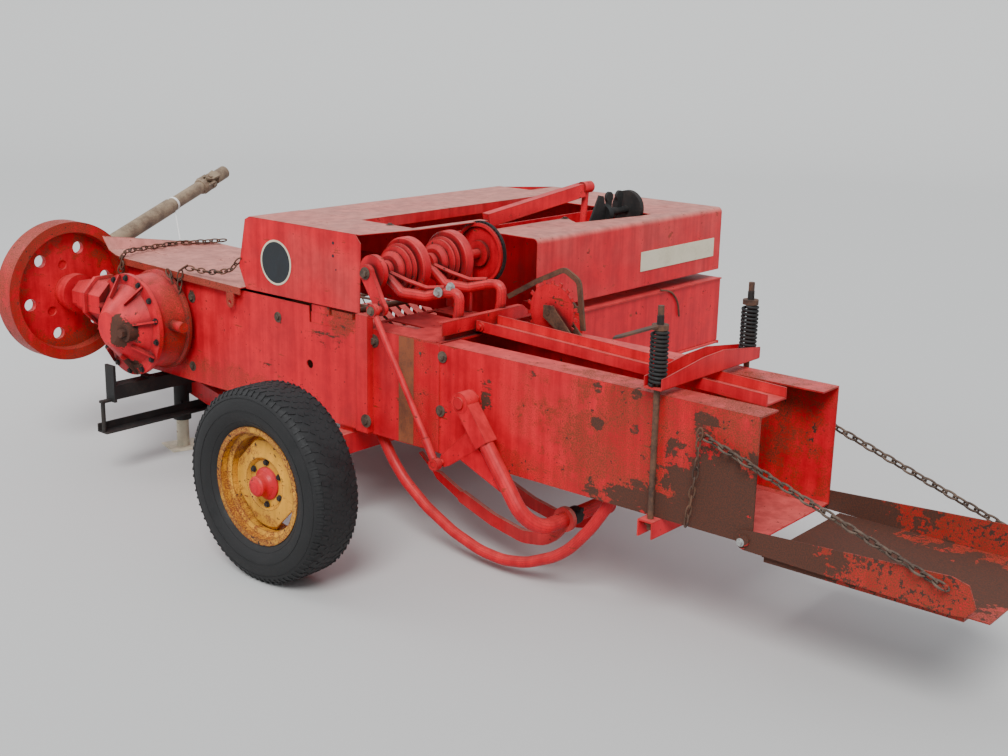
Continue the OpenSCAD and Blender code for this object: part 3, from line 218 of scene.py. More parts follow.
def build_coat_group():
    """Enamel that fades towards the sky, with haze, scratches, chips, worn edges, bare patches, and grime
    with painted shade in corners.
    """
    w, get, out = new_group("ShaderNodeTree", "Weathered coat", [
        ("Paint", "Color", (0.5, 0, 0, 1)), ("Chalk", "Color", (0.6, 0.2, 0.2, 1)),
        ("Rust", "Color", (0.3, 0.1, 0.03, 1)), ("Bare", "Color", (0.06, 0.03, 0.02, 1)),
        ("Fading", "Float", 0.3), ("Haze", "Float", 0.3), ("Chips", "Float", 0.3), ("Edges", "Float", 0.5),
        ("Grime", "Float", 0.6), ("Bared", "Float", 0.0), ("Hazed", "Float", 0.0)], SURFACE)
    place = w.place()
    facing = w.add("ShaderNodeNewGeometry").outputs["Normal"]
    cloud = w.noise(place, 2.6, 3, 0.55)
    patch = w.noise(place, 12.0, 6, 0.68)
    fine = w.noise(place, 230.0, 1, 0.6)
    chip = w.noise(place, 62.0, 3, 0.64)
    runs = w.noise(w.vector("MULTIPLY", place, (26, 26, 1.6)), 1.0, 3, 0.6)
    scrape = w.noise(w.vector("MULTIPLY", place, (30, 6.5, 44)), 1.0, 5, 0.74)
    uneven = w.minus(patch, 0.5)
    # Paint, paler where it faces the sky, in drips and patches of light and dark
    up = w.most(w.add("ShaderNodeSeparateXYZ", Vector=facing).outputs["Z"], 0.0)
    fade = w.times(get["Fading"], w.times_plus(up, 1.35, w.ramp(cloud, 0.36, 0.70, 0.0, 0.30)), clamp=True)
    tone = w.ramp(w.times_plus(patch, 0.5, w.times(runs, 0.5)), 0.3, 0.7, 0.66, 1.16)
    shown = w.vector("SCALE", w.mix(fade, get["Paint"], get["Chalk"]), tone)
    # Soft orange haze, broken up by fine grains
    score = w.times_plus(cloud, 0.45, w.times_plus(patch, 0.30, w.times(fine, 0.25)))
    score = w.plus(score, w.times(get["Hazed"], 0.22))
    low = w.times_plus(get["Haze"], -0.30, 0.66)
    haze = w.times(w.ramp(score, low, w.plus(low, 0.20)), w.ramp(fine, 0.38, 0.60, 0.45, 0.95))
    shown = w.mix(haze, shown, get["Rust"])
    # Long scratches from hay and hands
    scratch = w.ramp(w.times_plus(uneven, 0.6, scrape), 0.655, 0.70)
    scratch = w.times(scratch, w.times(get["Chips"], 2.0, clamp=True))
    shown = w.mix(scratch, shown, get["Rust"])
    # Chips and spots down to the iron
    mark = w.times_plus(uneven, 0.55, w.times_plus(get["Hazed"], 0.05, chip))
    low = w.times_plus(get["Chips"], -0.22, 0.80)
    chips = w.ramp(mark, low, w.plus(low, 0.025))
    shown = w.mix(chips, shown, get["Bare"])
    # Edges that hands and hay have rubbed
    soft = w.add("ShaderNodeBevel", samples=2, Radius=0.007)
    bend = w.plus(w.minus(1.0, w.vector("DOT_PRODUCT", soft, facing)), w.times(uneven, 0.16))
    edges = w.times(w.ramp(bend, 0.035, 0.085), get["Edges"])
    shown = w.mix(edges, shown, w.mix(w.ramp(chip, 0.42, 0.56), get["Rust"], get["Bare"]))
    # Bare patches with scraped outlines
    bared = w.plus(get["Bared"], w.times_plus(scrape, 1.7, w.times_plus(chip, 0.7, -1.2)))
    bared = w.times(w.ramp(bared, 0.52, 0.66), w.ramp(get["Bared"], 0.0, 0.1))
    shown = w.mix(bared, shown, w.mix(w.ramp(fine, 0.3, 0.7, 0.0, 0.35), get["Bare"], get["Rust"]))
    # Grime and painted shade where faces meet: the colour darkens where occlusion finds nearby faces
    corner = w.add("ShaderNodeAmbientOcclusion", samples=2, Distance=0.07)
    shade_and_grime_mask = w.times(w.ramp(w.times_plus(patch, 0.25, corner.outputs["AO"]), 0.95, 0.45), get["Grime"])
    w.feed(out["Color"], w.mix(shade_and_grime_mask, shown, (0.020, 0.012, 0.010)))
    # Fading and lost paint dull the shine and roughen the surface
    gone = w.most(w.most(chips, bared), w.most(w.times(haze, 0.8), edges))
    gloss = w.times_plus(fade, 0.22, w.ramp(patch, 0.3, 0.7, 0.36, 0.50))
    w.feed(out["Roughness"], w.most(gloss, w.times(gone, 0.85)))
    height = w.times_plus(fine, w.times_plus(gone, 0.35, 0.05), cloud)
    w.feed(out["Height"], w.minus(height, w.times(w.most(chips, bared), 0.22)))
    return w.tree


def build_grain_group():
    """Two colours mixed in clouds and grains, for rust, iron, rubber and dust."""
    w, get, out = new_group("ShaderNodeTree", "Cloudy grain", [
        ("Dark", "Color", (0.05, 0.05, 0.05, 1)), ("Light", "Color", (0.2, 0.2, 0.2, 1)),
        ("Scale", "Float", 1.0), ("Balance", "Float", 0.5)], SURFACE)
    place = w.vector("SCALE", w.place(), get["Scale"])
    cloud = w.noise(place, 9.0, 7, 0.65)
    speck = w.noise(place, 120.0, 3, 0.6)
    value = w.times_plus(cloud, 0.7, w.times(speck, 0.3))
    mask = w.ramp(value, w.minus(0.86, get["Balance"]), w.minus(1.16, get["Balance"]))
    w.feed(out["Color"], w.mix(mask, get["Dark"], get["Light"]))
    w.feed(out["Roughness"], w.ramp(value, 0.3, 0.7, 0.55, 0.9))
    w.feed(out["Height"], w.times_plus(speck, 0.6, cloud))
    return w.tree


def build_spot_group():
    """A worn spot round a point, ragged at its edge."""
    w, get, out = new_group("ShaderNodeTree", "Worn spot", [
        ("Centre", "Vector", (0, 0, 0)), ("Reach", "Vector", (1, 1, 1)), ("Ragged", "Float", 0.0)],
        [("Mask", "Float")])
    away = w.vector("DIVIDE", w.vector("SUBTRACT", w.place(), get["Centre"]), get["Reach"])
    w.feed(out["Mask"], w.ramp(w.plus(w.vector("LENGTH", away), get["Ragged"]), 1.15, 0.55))
    return w.tree


# Materials

GROUPS = {}
MATERIALS = {}

# Oxidised enamel shines less than new paint
ENAMEL_IOR = 1.3


def colour(name):
    """A colour that the user sets, as a plain tuple."""
    return tuple(getattr(bpy.context.scene.baler_colours, name))


def new_material(name):
    """A material that has only a Principled shader."""
    material = bpy.data.materials.new(name)
    material.use_nodes = True
    material.node_tree.nodes.clear()
    w = Wiring(material.node_tree)
    shader = w.add("ShaderNodeBsdfPrincipled")
    w.add("ShaderNodeOutputMaterial", Surface=shader)
    return material, w, shader


def feed_shader(w, shader, group, strength, distance):
    """Joins a group's colour, roughness and height to the shader; strength and distance are the bump's."""
    w.feed(shader.inputs["Base Color"], group.outputs["Color"])
    w.feed(shader.inputs["Roughness"], group.outputs["Roughness"])
    bump = w.add("ShaderNodeBump", Strength=strength, Distance=distance, Height=group.outputs["Height"])
    w.feed(shader.inputs["Normal"], bump)


def coat(name, fading, haze, chips, paint="red", edges=0.6, grime=0.0, bared=(), hazed=(), side=0.0):
    """A painted material; bared and hazed are spots as (centre, reach, strength), side hazes x faces."""
    MATERIALS[name], w, shader = new_material(name)
    group = w.add("ShaderNodeGroup", node_tree=GROUPS["coat"], Rust=colour("rust"), Bare=colour("bare"),
                  Paint=colour(paint), Chalk=colour("chalk" if paint == "red" else paint), Fading=fading,
                  Haze=haze, Chips=chips, Edges=edges, Grime=grime)
    if bared or hazed:
        ragged = w.times_plus(w.noise(w.place(), 16.0, 5, 0.70), 2.2, -1.1)
    for label, spots in (("Bared", bared), ("Hazed", hazed)):
        total = 0.0
        for centre, reach, strength in spots:
            spot = w.add("ShaderNodeGroup", node_tree=GROUPS["spot"], Centre=centre, Reach=reach,
                         Ragged=ragged)
            # A negative strength wears all but the spot
            mask = spot if strength > 0 else w.minus(1.0, spot)
            total = w.most(total, w.times(mask, abs(strength)))
        w.feed(group.inputs[label], total)
    if side:
        facing = w.add("ShaderNodeSeparateXYZ", Vector=w.add("ShaderNodeNewGeometry").outputs["Normal"])
        w.feed(group.inputs["Hazed"], w.times(w.math("ABSOLUTE", facing.outputs["X"]), side))
    shader.inputs["IOR"].default_value = ENAMEL_IOR
    feed_shader(w, shader, group, 0.35, 0.004)


def grain(name, dark, light, scale=1.0, balance=0.5, metallic=0.0, strength=0.4):
    """A material of two colours in clouds and grains."""
    MATERIALS[name], w, shader = new_material(name)
    group = w.add("ShaderNodeGroup", node_tree=GROUPS["grain"], Dark=dark, Light=light, Scale=scale,
                  Balance=balance)
    shader.inputs["Metallic"].default_value = metallic
    feed_shader(w, shader, group, strength, 0.002)


def build_enamels():
    """The painted materials, worn round bolts, along edges and where bales rub."""
    coat("side red", fading=0.14, haze=0.22, chips=0.42, bared=[
        (at(0, -292, 560), (0.2, 0.06, 0.05), 0.45), (at(0, -238, 745), (0.1, 0.028, 0.045), 0.55),
        (at(0, -773, 745), (0.1, 0.028, 0.045), 0.55), (at(0, -784, 455), (0.1, 0.03, 0.04), 0.55),
        (at(-10, 60, 730), (0.03, 0.12, 0.07), 0.55)], hazed=[
        (at(0, -600, 440), (0.4, 1.0, 0.09), 0.6), (at(-20, 120, 800), (0.06, 0.14, 0.08), 1.2)])
    coat("wall red", fading=0.22, haze=0.46, chips=0.46, bared=[
        (at(0, 1760, 500), (0.3, 0.26, 0.22), 1.0), (at(0, 1560, 440), (0.3, 0.35, 0.07), 0.9),
        (at(0, 1700, 745), (0.2, 0.06, 0.05), 0.7), (at(0, 1448, 666), (0.1, 0.035, 0.022), 0.7),
        (at(0, 1451, 780), (0.1, 0.026, 0.022), 0.7), (at(0, 1303, 776), (0.1, 0.026, 0.026), 0.8),
        (at(0, 1302, 657), (0.1, 0.030, 0.030), 0.8), (at(0, 1285, 430), (0.1, 0.034, 0.028), 0.7),
        (at(0, 1032, 768), (0.1, 0.02, 0.02), 0.6), (at(0, 835, 660), (0.1, 0.034, 0.075), 0.7)], hazed=[
        (at(0, 1650, 560), (0.6, 0.60, 0.42), 0.72), (at(0, 520, 600), (0.2, 0.13, 0.6), 0.6),
        (at(0, 1000, 430), (0.4, 0.5, 0.08), 0.5)])
    coat("top red", fading=0.66, haze=0.22, chips=0.36)
    coat("deck red", fading=1.0, haze=0.36, chips=0.35, side=1.6)
    # The cast parts and the gearbox take grime and painted shade in their corners
    coat("cast red", fading=0.16, haze=0.36, chips=0.52, edges=0.9, grime=1.0)
    coat("gear red", fading=0.12, haze=0.36, chips=0.34, grime=1.0, bared=[
        (at(285, -857, 639), (0.08, 0.085, 0.085), 1.2), (at(240, -900, 470), (0.1, 0.08, 0.05), 0.8)],
        hazed=[(DRUM + LEFT * 0.060, (0.17, 0.4, 0.4), 0.75)])
    coat("wheel red", fading=0.12, haze=0.34, chips=0.40, hazed=[
        (at(155, -1450, 713), (0.245, 0.30, 0.245), -1.0), (at(155, -1450, 450), (0.3, 0.3, 0.10), 0.9)])
    coat("tube red", fading=0.12, haze=0.20, chips=0.45, edges=0.7)
    coat("rail red", fading=0.22, haze=0.18, chips=0.30)
    coat("frame red", fading=0.30, haze=0.45, chips=0.45, edges=0.0)
    coat("needle red", fading=0.75, haze=0.40, chips=0.35, edges=0.0)
    coat("rim yellow", paint="yellow", fading=0.2, haze=0.34, chips=0.60, edges=1.0, hazed=[
        (PIVOTS["left_wheel"], (0.3, 0.19, 0.19), -0.9)])
    coat("jack cream", paint="cream", fading=0.2, haze=0.2, chips=0.3, edges=0.0)
    coat("chute red", fading=0.1, haze=0.62, chips=0.75, bared=[
        (at(-245, 1960, 400), (0.6, 0.30, 0.20), 1.2), (at(-245, 2300, 376), (0.242, 0.6, 0.03), 1.2)],
        hazed=[(at(-245, 2200, 420), (0.9, 0.8, 0.4), 1.0)])


def build_grains():
    """The unpainted materials."""
    grain("dry rust", (0.035, 0.017, 0.011), (0.14, 0.06, 0.03))
    grain("brown lap", (0.10, 0.030, 0.014), (0.26, 0.070, 0.024), scale=1.4, balance=0.55)
    grain("grey rust", (0.085, 0.045, 0.028), (0.27, 0.20, 0.13), scale=1.6, balance=0.55)
    grain("greasy iron", (0.005, 0.005, 0.005), (0.040, 0.028, 0.022), balance=0.42)
    grain("bare bolt", (0.045, 0.026, 0.018), (0.16, 0.11, 0.08), scale=3.0, metallic=0.3)
    grain("bright steel", (0.30, 0.30, 0.29), (0.62, 0.62, 0.60), scale=4.0, metallic=0.9)
    grain("tread rubber", (0.0022, 0.0023, 0.0027), (0.012, 0.0115, 0.012), scale=1.5)
    grain("strap weave", (0.62, 0.61, 0.58), (0.80, 0.79, 0.76), scale=4.0)
    grain("disc black", (0.008, 0.011, 0.014), (0.016, 0.021, 0.026), scale=2.0, strength=0.1)
    grain("plate cream", (0.46, 0.40, 0.28), (0.62, 0.56, 0.42), balance=0.6, strength=0.15)


# Mesh building


def finish_piece(mesh, name, body, angle, bevel=0.0):
    """Links a mesh as a piece with soft shading up to an angle, on its body."""
    mesh.polygons.foreach_set("use_smooth", [True] * len(mesh.polygons))
    mesh.set_sharp_from_angle(angle=math.radians(angle))
    piece = bpy.data.objects.new(name, mesh)
    bpy.context.collection.objects.link(piece)
    if bevel:
        edge = piece.modifiers.new("Bevel", "BEVEL")
        edge.width = bevel
        edge.segments = 2
        edge.limit_method = "ANGLE"
        edge.angle_limit = math.radians(40)
    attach(piece, body)
    return piece


class Shape:
    """Collects the faces of one piece; kind is a face's material by its place in materials."""

    def __init__(self, *materials):
        self.materials = materials
        self.verts, self.faces, self.kinds = [], [], []

    def add(self, verts, faces, kind=0):
        base = len(self.verts)
        self.verts += [tuple(v) for v in verts]
        self.faces += [tuple(base + i for i in face) for face in faces]
        self.kinds += [kind] * len(faces)

    def block(self, a, b):
        """A box between two opposite corners."""
        ends = list(zip(map(min, a, b), map(max, a, b)))
        verts = [(x, y, z) for x in ends[0] for y in ends[1] for z in ends[2]]
        self.add(verts, [(0, 1, 3, 2), (4, 6, 7, 5), (0, 4, 5, 1), (2, 3, 7, 6), (0, 2, 6, 4), (1, 5, 7, 3)])

    def plate(self, outline, low, high, kind=0):
        """A flat plate from low to high along x; outline is (y, z) points, anticlockwise from the left."""
        n = len(outline)
        verts = [(x, *point) for x in (low, high) for point in outline]
        faces = [tuple(range(n))[::-1], tuple(range(n, 2 * n))]
        faces += [(i, (i + 1) % n, n + (i + 1) % n, n + i) for i in range(n)]
        self.add(verts, faces, kind)

    def turned(self, profile, centre, sides, kind=0):
        """A profile of (radius, x) points turned about centre; closed on itself or at the axis."""
        side = LEFT.orthogonal().normalized()
        other = LEFT.cross(side)
        verts, rows = [], []
        for r, x in profile:
            middle = Vector(centre) + LEFT * x
            start = len(verts)
            if r < 1e-6:
                verts.append(middle)
            else:
                verts += [middle + (side * math.cos(a) + other * math.sin(a)) * r for a in turns(sides)]
            rows.append(range(start, len(verts)))
        pairs = list(zip(rows, rows[1:]))
        if len(rows[0]) > 1:
            pairs.append((rows[-1], rows[0]))
        faces = []
        for low, high in pairs:
            for i in range(sides):
                j = (i + 1) % sides
                ring = (low[i % len(low)], low[j % len(low)], high[j % len(high)], high[i % len(high)])
                ring = tuple(dict.fromkeys(ring))
                if len(ring) > 2:
                    faces.append(ring)
        self.add(verts, faces, kind)

    def tube(self, points, r, sides, closed=False):
        """A round rod along points, carried without twist."""
        n = len(points)
        heads = []
        for i in range(n):
            last = points[i - 1] if i or closed else points[0]
            following = points[(i + 1) % n] if i < n - 1 or closed else points[-1]
            heads.append((following - last).normalized())
        top = heads[0].orthogonal()
        verts = []
        for point, head in zip(points, heads):
            top = (top - head * top.dot(head)).normalized()
            side = head.cross(top)
            verts += [point + side * (r * math.cos(a)) - top * (r * math.sin(a)) for a in turns(sides)]
        faces = []
        for i in range(n if closed else n - 1):
            here, ahead = i * sides, (i + 1) % n * sides
            for k in range(sides):
                j = (k + 1) % sides
                faces.append((here + k, here + j, ahead + j, ahead + k))
        if not closed:
            faces += [tuple(range(sides))[::-1], tuple(range((n - 1) * sides, n * sides))]
        self.add(verts, faces)

    def make(self, name, body="root", bevel=0.0, angle=35):
        mesh = bpy.data.meshes.new(name)
        mesh.from_pydata(self.verts, [], self.faces)
        for material in self.materials:
            mesh.materials.append(MATERIALS[material])
        mesh.polygons.foreach_set("material_index", self.kinds)
        mesh.update()
        bm = bmesh.new()
        bm.from_mesh(mesh)
        bmesh.ops.recalc_face_normals(bm, faces=bm.faces)
        bm.to_mesh(mesh)
        bm.free()
        return finish_piece(mesh, name, body, angle, bevel)


def smooth_line(points, steps):
    """A curve through points by Catmull-Rom pieces, with steps points to each."""
    p = [points[0] * 2 - points[1], *points, points[-1] * 2 - points[-2]]
    line = []
    for a, b, c, d in zip(p, p[1:], p[2:], p[3:]):
        for t in (i / steps for i in range(steps)):
            square, cube = (2 * a - 5 * b + 4 * c - d) * t * t, (3 * b - a - 3 * c + d) * t ** 3
            line.append(0.5 * (2 * b + (c - a) * t + square + cube))
    return line + [points[-1].copy()]


SEATS = {}

# Height and distance to the left, in millimetres, from where lines are sent on to the machine
HIGH = 1400
OUTSIDE = 400


def seat(node, start, heading):
    """Where a line from start first meets a CAD node, or None."""
    if node not in SEATS:
        piece = frame["nodes"][node]
        SEATS[node] = BVHTree.FromPolygons([piece.matrix_world @ v.co for v in piece.data.vertices],
                                           [tuple(face.vertices) for face in piece.data.polygons])
    return SEATS[node].ray_cast(start, heading)[0]


def on_left(y, z, *nodes):
    """The place furthest left where a line along x meets one of the nodes."""
    hits = [seat(node, at(OUTSIDE, y, z), RIGHT) for node in nodes]
    return max(filter(None, hits), key=lambda hit: hit.x)


# Geometry node trees for what repeats


def geometry_group(name, inputs):
    """A geometry group that takes and gives a geometry besides its inputs."""
    geometry = ("Geometry", "Geometry")
    return new_group("GeometryNodeTree", name, [geometry, *inputs], [geometry])


def finish_tree(w, geometry, out, material):
    """Ends a tree: its instances are made real and take the material."""
    real = w.add("GeometryNodeRealizeInstances", Geometry=geometry)
    w.feed(out[0], w.add("GeometryNodeSetMaterial", Geometry=real, Material=MATERIALS[material]))
    return w.tree


def run_tree(build, material, name, base_mesh, values, body="root", angle=35):
    """Runs the tree that build makes for a material on a base mesh; the result is a plain piece."""
    key = (build, material)
    if key not in GROUPS:
        GROUPS[key] = build(material)
    carrier = bpy.data.objects.new(name + "_carrier", base_mesh)
    bpy.context.collection.objects.link(carrier)
    modifier = carrier.modifiers.new("Repeat", "NODES")
    modifier.node_group = GROUPS[key]
    identifiers = {item.name: item.identifier for item in GROUPS[key].interface.items_tree
                   if item.in_out == "INPUT"}
    for label, value in values.items():
        modifier[identifiers[label]] = value
    carrier.update_tag()
    graph = bpy.context.evaluated_depsgraph_get()
    mesh = bpy.data.meshes.new_from_object(carrier.evaluated_get(graph))
    bpy.data.objects.remove(carrier)
    mesh.name = name
    return finish_piece(mesh, name, body, angle)


def point_mesh(name, points):
    """Loose points as (place, direction it faces, size)."""
    mesh = bpy.data.meshes.new(name)
    mesh.from_pydata([tuple(place) for place, _, _ in points], [], [])
    facing = mesh.attributes.new("facing", "FLOAT_VECTOR", "POINT")
    facing.data.foreach_set("vector", [number for _, direction, _ in points for number in direction])
    size = mesh.attributes.new("size", "FLOAT", "POINT")
    size.data.foreach_set("value", [number for _, _, number in points])
    return mesh


def bolt_tree(material):
    """Hexagon heads on round washers at every point, turned to face the point's direction."""
    w, get, out = geometry_group("Bolts " + material, [
        ("Head height", "Float", 0.65), ("Washer", "Float", 1.5)])
    head = w.add("GeometryNodeMeshCylinder", Vertices=6, Radius=1.0, Depth=get["Head height"])
    up = w.add("ShaderNodeCombineXYZ", Z=w.times_plus(get["Head height"], 0.5, 0.15))
    lifted = w.add("GeometryNodeTransform", Geometry=head, Translation=up)
    washer = w.add("GeometryNodeMeshCylinder", Vertices=20, Depth=0.34, Radius=get["Washer"])
    both = w.add("GeometryNodeJoinGeometry", Geometry=lifted)
    w.feed(both.inputs[0], washer)
    facing = w.add("GeometryNodeInputNamedAttribute", data_type="FLOAT_VECTOR", Name="facing")
    size = w.add("GeometryNodeInputNamedAttribute", data_type="FLOAT", Name="size")
    turn = w.add("FunctionNodeAlignRotationToVector", axis="Z", Vector=facing)
    bolted = w.add("GeometryNodeInstanceOnPoints", Points=get[0], Instance=both, Rotation=turn, Scale=size)
    return finish_tree(w, bolted, out, material)


def bolts(name, points, body="root", material="bare bolt", washer=1.5, height=0.65):
    """Bolt heads at points; washer and height are shares of a head's radius."""
    values = {"Head height": height, "Washer": washer}
    run_tree(bolt_tree, material, name, point_mesh(name, points), values, body, angle=25)


def link_tree(material):
    """Oval links along a line of points, each turned a quarter against the last."""
    w, get, out = geometry_group("Chain " + material, [
        ("Pitch", "Float", 0.03), ("Wire", "Float", 0.003), ("Width", "Float", 0.018)])
    line = w.add("GeometryNodeMeshToCurve", Mesh=get[0])
    marks = w.add("GeometryNodeResampleCurve", mode="LENGTH", Curve=line, Length=get["Pitch"])
    oval = w.add("GeometryNodeCurvePrimitiveCircle", Resolution=14, Radius=0.5)
    stood = w.add("GeometryNodeTransform", Geometry=oval, Rotation=(math.pi / 2, 0, 0))
    size = w.add("ShaderNodeCombineXYZ", X=get["Width"], Y=1.0, Z=w.times(get["Pitch"], 1.38))
    squashed = w.add("GeometryNodeTransform", Geometry=stood, Scale=size)
    wire = w.add("GeometryNodeCurvePrimitiveCircle", Resolution=7, Radius=get["Wire"])
    link = w.add("GeometryNodeCurveToMesh", Curve=squashed, Profile_Curve=wire)
    along = w.add("FunctionNodeAlignRotationToVector", axis="Z", Vector=w.add("GeometryNodeInputTangent"))
    quarter = w.times(w.math("MODULO", w.add("GeometryNodeInputIndex"), 2.0), math.pi / 2)
    spin = w.add("FunctionNodeAxisAngleToRotation", Angle=w.plus(quarter, 0.5))
    both = w.add("FunctionNodeRotateRotation", rotation_space="LOCAL", Rotation=along, Rotate_By=spin)
    linked = w.add("GeometryNodeInstanceOnPoints", Points=marks, Instance=link, Rotation=both)
    return finish_tree(w, linked, out, material)


def chain(name, points, pitch, wire=0.0032, width=0.02, material="dry rust"):
    """A chain of links of round wire along points."""
    mesh = bpy.data.meshes.new(name)
    mesh.from_pydata([tuple(p) for p in points], [(i, i + 1) for i in range(len(points) - 1)], [])
    values = {"Pitch": pitch, "Wire": wire, "Width": width}
    return run_tree(link_tree, material, name, mesh, values, angle=60)


def coil_tree(material):
    """A round-wire coil standing at each point."""
    w, get, out = geometry_group("Coil " + material, [
        ("Turns", "Float", 12.0), ("Radius", "Float", 0.026), ("Height", "Float", 0.18),
        ("Wire", "Float", 0.005)])
    spiral = w.add("GeometryNodeCurveSpiral", Resolution=20, Rotations=get["Turns"], Height=get["Height"],
                   Start_Radius=get["Radius"], End_Radius=get["Radius"])
    wire = w.add("GeometryNodeCurvePrimitiveCircle", Resolution=10, Radius=get["Wire"])
    coil = w.add("GeometryNodeCurveToMesh", Fill_Caps=True, Curve=spiral, Profile_Curve=wire)
    stood = w.add("GeometryNodeInstanceOnPoints", Points=get[0], Instance=coil)
    return finish_tree(w, stood, out, material)


def ring_tree(material):
    """Copies of a small block round a circle about the x axis, such as tread lugs or chain rollers."""
    w, get, out = geometry_group("Ring " + material, [
        ("Count", "Int", 40), ("Radius", "Float", 0.34), ("Length", "Float", 0.03),
        ("Width", "Float", 0.015), ("Height", "Float", 0.012), ("Skew", "Float", 0.0),
        ("Tilt", "Float", 0.0), ("Phase", "Float", 0.0)])
    circle = w.add("GeometryNodeMeshCircle", Vertices=get["Count"], Radius=get["Radius"])
    size = w.add("ShaderNodeCombineXYZ", X=get["Width"], Y=get["Height"], Z=get["Length"])
    lean = w.add("ShaderNodeCombineXYZ", X=get["Tilt"], Y=get["Skew"])
    block = w.add("GeometryNodeTransform", Geometry=w.add("GeometryNodeMeshCube", Size=size), Rotation=lean)
    outward = w.add("FunctionNodeAlignRotationToVector", axis="Y", pivot_axis="Z",
                    Vector=w.add("GeometryNodeInputPosition"))
    ring = w.add("GeometryNodeInstanceOnPoints", Points=circle, Instance=block, Rotation=outward)
    about = w.add("ShaderNodeCombineXYZ", Z=get["Phase"])
    moved_on = w.add("GeometryNodeTransform", Geometry=ring, Rotation=about)
    laid = w.add("GeometryNodeTransform", Geometry=moved_on, Rotation=(0, math.pi / 2, 0))
    placed = w.add("GeometryNodeInstanceOnPoints", Points=get[0], Instance=laid)
    return finish_tree(w, placed, out, material)


def ring_of_blocks(name, centre, body, material, slot, **values):
    """A ring of blocks round centre; values are the inputs of the ring's tree."""
    run_tree(ring_tree, material, name, point_mesh(name, [(centre, LEFT, 1.0)]), values, body)


# Pieces

NODE_FINISH = {
    "side red": ("plunger_housing", "twine_box", "twine_door"),
    "wall red": ("chamber_left_wall", "chamber_right_wall"),
    "top red": ("knotter_hood", "feeder_hood"),
    "rail red": ("tension_rails", "tension_beams"),
    "deck red": ("deck",),
    "gear red": ("gearbox",),
    "wheel red": ("flywheel",),
    "cast red": ("knotter_table", "knotter_shaft", "knotter_frames", "packer_arm", "metering_wheel",
                 "needle_rod"),
    "tube red": ("left_hub", "right_hub", "needle_yoke", "needle_guard"),
    "needle red": ("needles",),
    "chute red": ("chute",),
    "frame red": ("chamber_floor", "feeder_floor", "axle", "drawbar", "pickup_frame", "stripper_bands"),
    "rim yellow": ("left_rim", "right_rim"),
    "jack cream": ("jack_leg",),
    "dry rust": ("tension_rods", "chute_chains", "plunger", "pickup_reel", "windguard", "trip_arm",
                 "deck_chain", "pto_clutch"),
    "grey rust": ("pto_shaft",),
    "greasy iron": ("front_frame", "jack_tube", "packer_drive", "tension_springs"),
    "tread rubber": ("left_tyre", "right_tyre"),
    "strap weave": ("pto_strap",),
}


class BALER_OT_paint(bpy.types.Operator):
    """Give every CAD node its finish"""
    bl_idname = "baler.paint"
    bl_label = "Paint the frame"

    def execute(self, context):
        GROUPS.update(coat=build_coat_group(), grain=build_grain_group(), spot=build_spot_group())
        build_enamels()
        build_grains()
        for material, nodes in NODE_FINISH.items():
            for node in nodes:
                slots = frame["nodes"][node].data.materials
                slots.clear()
                slots.append(MATERIALS[material])
        return {"FINISHED"}


# A tyre's half section as (radius, x): tread from the middle, side wall, then the hidden inner face
TYRE_CROWN = ((0.3425, 0.0), (0.3412, 0.045), (0.3375, 0.072))
TYRE_WALL = ((0.331, 0.084), (0.318, 0.093), (0.300, 0.0985), (0.278, 0.1015), (0.255, 0.099),
             (0.236, 0.091), (0.222, 0.083), (0.2135, 0.076), (0.2092, 0.0705))
TYRE_INSIDE = (0.194, 0.069)

# Thin raised lines on the side wall as (radius, x, height)
WALL_LINES = ((0.2670, 0.0990, 0.0028), (0.3105, 0.0945, 0.0022), (0.2280, 0.0855, 0.0025))

# Rows of lugs as (name, x, radius, tilt, extra lugs, length, width, skew), each also mirrored
LUG_ROWS = (
    ("edge", 0.0835, 0.3312, 0.80, 22, 0.0240, 0.0070, 0.0),
    ("side", 0.0600, 0.3395, 0.12, 0, 0.0260, 0.0140, -0.35),
    ("mid", 0.0330, 0.3412, 0.0, 0, 0.0200, 0.0120, -0.8),
    ("rib", 0.0110, 0.3412, 0.0, 10, 0.0150, 0.0125, -0.4),
)
LUG_HEIGHT = 0.0042
LUG_STAGGER = 0.31


def tyre(name, body, node):
    """A worn implement tyre with small lugs, ribbed shoulders and thin lines on its side walls."""
    centre = PIVOTS[body]
    half = TYRE_CROWN + TYRE_WALL
    profile = [(r, -x) for r, x in reversed(half[1:])] + [*half]
    profile += [(TYRE_INSIDE[0], side * TYRE_INSIDE[1]) for side in (1, -1)]
    shape = Shape("tread rubber")
    shape.turned(profile, centre, 96)
    for side in (-1, 1):
        for r, x, t in WALL_LINES:
            shape.turned([(r, side * x), (r + 0.0004, side * (x + t)), (r + 0.0018, side * (x + t)),
                          (r + 0.0022, side * x)], centre, 96)
    piece = shape.make(name, body, angle=50)
    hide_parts(node)
    count = bpy.context.scene.baler_sizes.lug_count
    for i, (label, x, radius, tilt, extra, length, width, skew) in enumerate(LUG_ROWS):
        for k, (word, side) in enumerate((("in", -1), ("out", 1))):
            middle = centre + LEFT * (side * x)
            ring_of_blocks(f"{name}_{label}_{word}", middle, body, "tread rubber", "tyre",
                           Count=count + extra, Radius=radius, Length=length, Width=width, Height=LUG_HEIGHT,
                           Skew=side * skew, Tilt=side * tilt, Phase=(2 * i + k) * LUG_STAGGER)


class BALER_OT_tyres(bpy.types.Operator):
    """Build both tyres with their tread"""
    bl_idname = "baler.tyres"
    bl_label = "Tyres"

    def execute(self, context):
        tyre("tyre_left", "left_wheel", "left_tyre")
        tyre("tyre_right", "right_wheel", "right_tyre")
        return {"FINISHED"}


def bolt_circle(centre, radius, count, size, start, side=1):
    """Bolts round a circle about the x axis, facing left, or right where side is -1."""
    return [(centre + Vector((0, radius * math.cos(a), radius * math.sin(a))), (side, 0, 0), size)
            for a in turns(count, start)]


